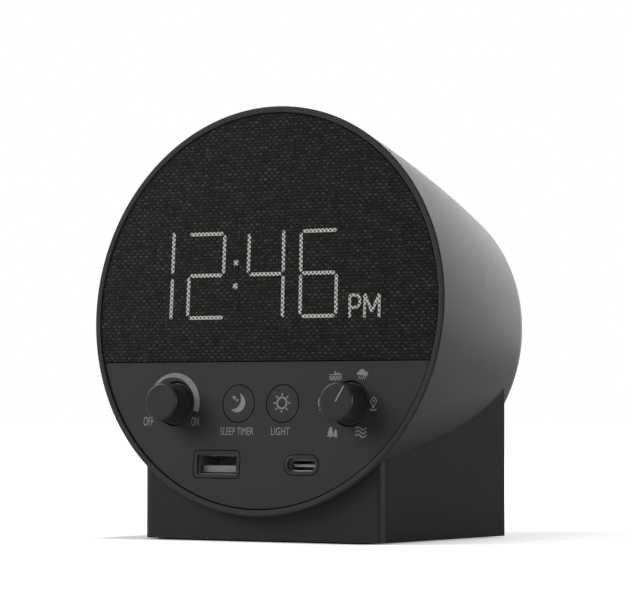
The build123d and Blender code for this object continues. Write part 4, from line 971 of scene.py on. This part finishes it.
class SOUND_MACHINE_OT_screw_heads(bpy.types.Operator):
    """Turn the countersunk heads of the screws in the back cover and under the stand, with cross slots"""

    bl_idname = "sound_machine.screw_heads"
    bl_label = "Screw heads"

    def execute(self, context):
        made = finishes(context)
        radius = 36.2
        angles = [math.radians(a) for a in (30, 150, 210, 330)]
        cover = [(-radius * math.cos(a), radius * math.sin(a)) for a in angles]
        stand = [(x, -y) for x in (-22.0, 22.0) for y in (-16.0, 16.0)]
        under = Matrix.Scale(0.001, 4) @ Matrix.Rotation(math.pi, 4, "X")
        for name, node, points, matrix, seat in (
            ("cover_screw_heads", "rear_cover_screws", cover, BACK, COVER_DEPTH),
            ("stand_screw_heads", "base_plate_screws", stand, under, -1.0),
        ):
            face = [(0.0, 0.05 - seat), (1.6, 0.08 - seat), *arc(2.45, 0.25 - seat, 0.22, 270, 350, 5)]
            shank = [(2.68, 1.2 - seat), (1.4, 1.2 - seat), (1.4, 8.0 - seat), (0.0, 8.0 - seat)]
            heads = []
            for x, y in points:
                head = lathe("head", [*face, *shank], 48, (x, y))
                cut_slot(head, x, y, seat, 20)
                cut_slot(head, x, y, seat, 110)
                heads.append(head)
            screws = settle(join(name, heads), matrix)
            finish_piece(screws, "main", made["screw_steel"], [node])
        return {"FINISHED"}


class SOUND_MACHINE_OT_port_springs(bpy.types.Operator):
    """Bend the spring leaves that stand down from the roof of the USB-A shell"""

    bl_idname = "sound_machine.port_springs"
    bl_label = "Port springs"

    def execute(self, context):
        leaves = []
        width, roof, start = 1.8, PORTS_Y + 2.55, 3.6
        upper = [(0.0, roof), (3.0, roof - 0.75), (4.2, roof - 0.45)]
        lower = [(4.2, roof - 0.6), (3.0, roof - 0.9), (0.0, roof - 0.12)]
        for x in (USB_A_X - 3.0, USB_A_X + 3.0):
            leaf = chain("leaf", [(x - width / 2, y, -(start + d)) for d, y in [*upper, *lower]])
            bpy.ops.mesh.edge_face_add()
            bpy.ops.mesh.extrude_region_move(TRANSFORM_OT_translate={"value": (width, 0, 0)})
            tidy_edit()
            leaves.append(leaf)
        springs = settle(join("usb_a_springs", leaves))
        finish_piece(springs, "main", finishes(context)["port_metal"], ())
        return {"FINISHED"}


def softbox(name, place, aim, width, height, power, lights_matt):
    """Hang a soft lamp that the camera doesn't see."""
    bpy.ops.object.select_all(action="DESELECT")
    bpy.ops.object.light_add(type="AREA", location=place)
    lamp = bpy.context.object
    lamp.name = lamp.data.name = name
    lamp.data.shape = "RECTANGLE"
    lamp.data.size, lamp.data.size_y = width, height
    lamp.data.energy = power
    lamp.rotation_euler = (Vector(aim) - Vector(place)).to_track_quat("-Z", "Y").to_euler()
    lamp.visible_camera = False
    lamp.visible_diffuse = lights_matt


class SOUND_MACHINE_OT_stage(bpy.types.Operator):
    """Set the pale floor, the soft lamps, the world and the camera"""

    bl_idname = "sound_machine.stage"
    bl_label = "Stage"

    def execute(self, context):
        scene = context.scene
        scene.view_settings.view_transform = "Standard"
        bpy.ops.object.select_all(action="DESELECT")
        bpy.ops.mesh.primitive_plane_add(size=12.0, location=(0, 0, 0))
        floor = named("floor")
        n = Nodes("pale floor")
        place = n.place()
        pale = scene.sound_machine_colours.floor
        n.feed(Base_Color=n.blend(n.noise(place, 40.0), shade(pale, 0.985), pale))
        n.fix(Roughness=0.9, Specular_IOR_Level=0.1, Emission_Color=(1, 1, 1, 1))
        axes = n.add("ShaderNodeSeparateXYZ")
        n.link(place, axes.inputs["Vector"])
        # How far a point lies outside a rectangle round the stand, in millimetres
        beside = n.sum("SUBTRACT", n.sum("ABSOLUTE", n.sum("ADD", axes.outputs["X"], 10.0)), 42.0)
        before = n.sum("SUBTRACT", n.sum("ABSOLUTE", axes.outputs["Y"]), 33.5)
        away = n.sum("MAXIMUM", beside, before)
        # Seen straight, the floor gets white a little way from the stand, and its shadow stays
        near = n.between(away, 0.0, 0.46, 0.0, 6.0)
        far = n.between(away, 0.0, 0.54, 60.0, 380.0)
        # Painted light: more camera-only glow to the right of the stand fades the shadow band that the key
        # lamp casts there
        right = n.between(axes.outputs["X"], 0.0, 0.2, 44.0, 76.0)
        straight, mirrored = n.sight()
        straight = n.sum("MULTIPLY", straight, n.sum("ADD", n.sum("ADD", near, far), right))
        mirrored = n.sum("MULTIPLY", mirrored, n.between(away, 0.0, 1.0, 400.0, 3000.0))
        n.feed(Emission_Strength=n.sum("MAXIMUM", straight, mirrored))
        floor.data.materials.append(n.block)

        n = Nodes("pale room", "worlds", "Background")
        scene.world = n.block
        n.shader.inputs["Color"].default_value = (1, 1, 1, 1)
        axes = n.add("ShaderNodeSeparateXYZ")
        n.link(n.add("ShaderNodeTexCoord").outputs["Generated"], axes.inputs["Vector"])
        # The room is white seen straight, in gloss only behind the object, and lights little by itself
        straight, mirrored = n.sight()
        mirrored = n.sum("MULTIPLY", mirrored, n.between(axes.outputs["Y"], 0.3, 1.0, 0.7, 1.0))
        level = n.sum("MAXIMUM", n.sum("MAXIMUM", mirrored, straight), 0.2)
        n.feed(Strength=level)

        for lamp in LAMPS:
            softbox(*lamp)

        bpy.ops.object.camera_add(location=CAMERA_PLACE)
        camera = bpy.context.object
        camera.name = "camera"
        camera.rotation_euler = Vector(CAMERA_LOOK).to_track_quat("-Z", "Y").to_euler()
        camera.data.lens = CAMERA_LENS
        camera.data.sensor_width = 36.0
        camera.data.clip_start, camera.data.clip_end = 0.01, 30.0
        scene.camera = camera
        return {"FINISHED"}


class SOUND_MACHINE_PT_sidebar(bpy.types.Panel):
    """Lists the steps and settings"""

    bl_idname = "SOUND_MACHINE_PT_sidebar"
    bl_label = "Sound machine"
    bl_space_type = "VIEW_3D"
    bl_region_type = "UI"
    bl_category = "Sound machine"

    def draw(self, context):
        layout = self.layout
        for step in STEPS:
            layout.operator(step.bl_idname)
        for group in (context.scene.sound_machine_sizes, context.scene.sound_machine_colours):
            box = layout.box()
            for name in group.bl_rna.properties.keys():
                if name not in ("rna_type", "name"):
                    box.prop(group, name)


STEPS = (
    SOUND_MACHINE_OT_inner_pieces,
    SOUND_MACHINE_OT_head_shell,
    SOUND_MACHINE_OT_face_ring,
    SOUND_MACHINE_OT_moulded_pieces,
    SOUND_MACHINE_OT_grille_cloth,
    SOUND_MACHINE_OT_clock_light,
    SOUND_MACHINE_OT_knobs,
    SOUND_MACHINE_OT_buttons,
    SOUND_MACHINE_OT_panel_marks,
    SOUND_MACHINE_OT_port_springs,
    SOUND_MACHINE_OT_screw_heads,
    SOUND_MACHINE_OT_stage,
)
CLASSES = (SoundMachineSizes, SoundMachineColours, *STEPS, SOUND_MACHINE_PT_sidebar)


def register():
    for kind in CLASSES:
        bpy.utils.register_class(kind)
    bpy.types.Scene.sound_machine_sizes = PointerProperty(type=SoundMachineSizes)
    bpy.types.Scene.sound_machine_colours = PointerProperty(type=SoundMachineColours)


def unregister():
    del bpy.types.Scene.sound_machine_colours
    del bpy.types.Scene.sound_machine_sizes
    for kind in reversed(CLASSES):
        bpy.utils.unregister_class(kind)


def main():
    register()
    for step in STEPS:
        group, name = step.bl_idname.split(".")
        getattr(getattr(bpy.ops, group), name)()


if __name__ == "__main__":
    main()
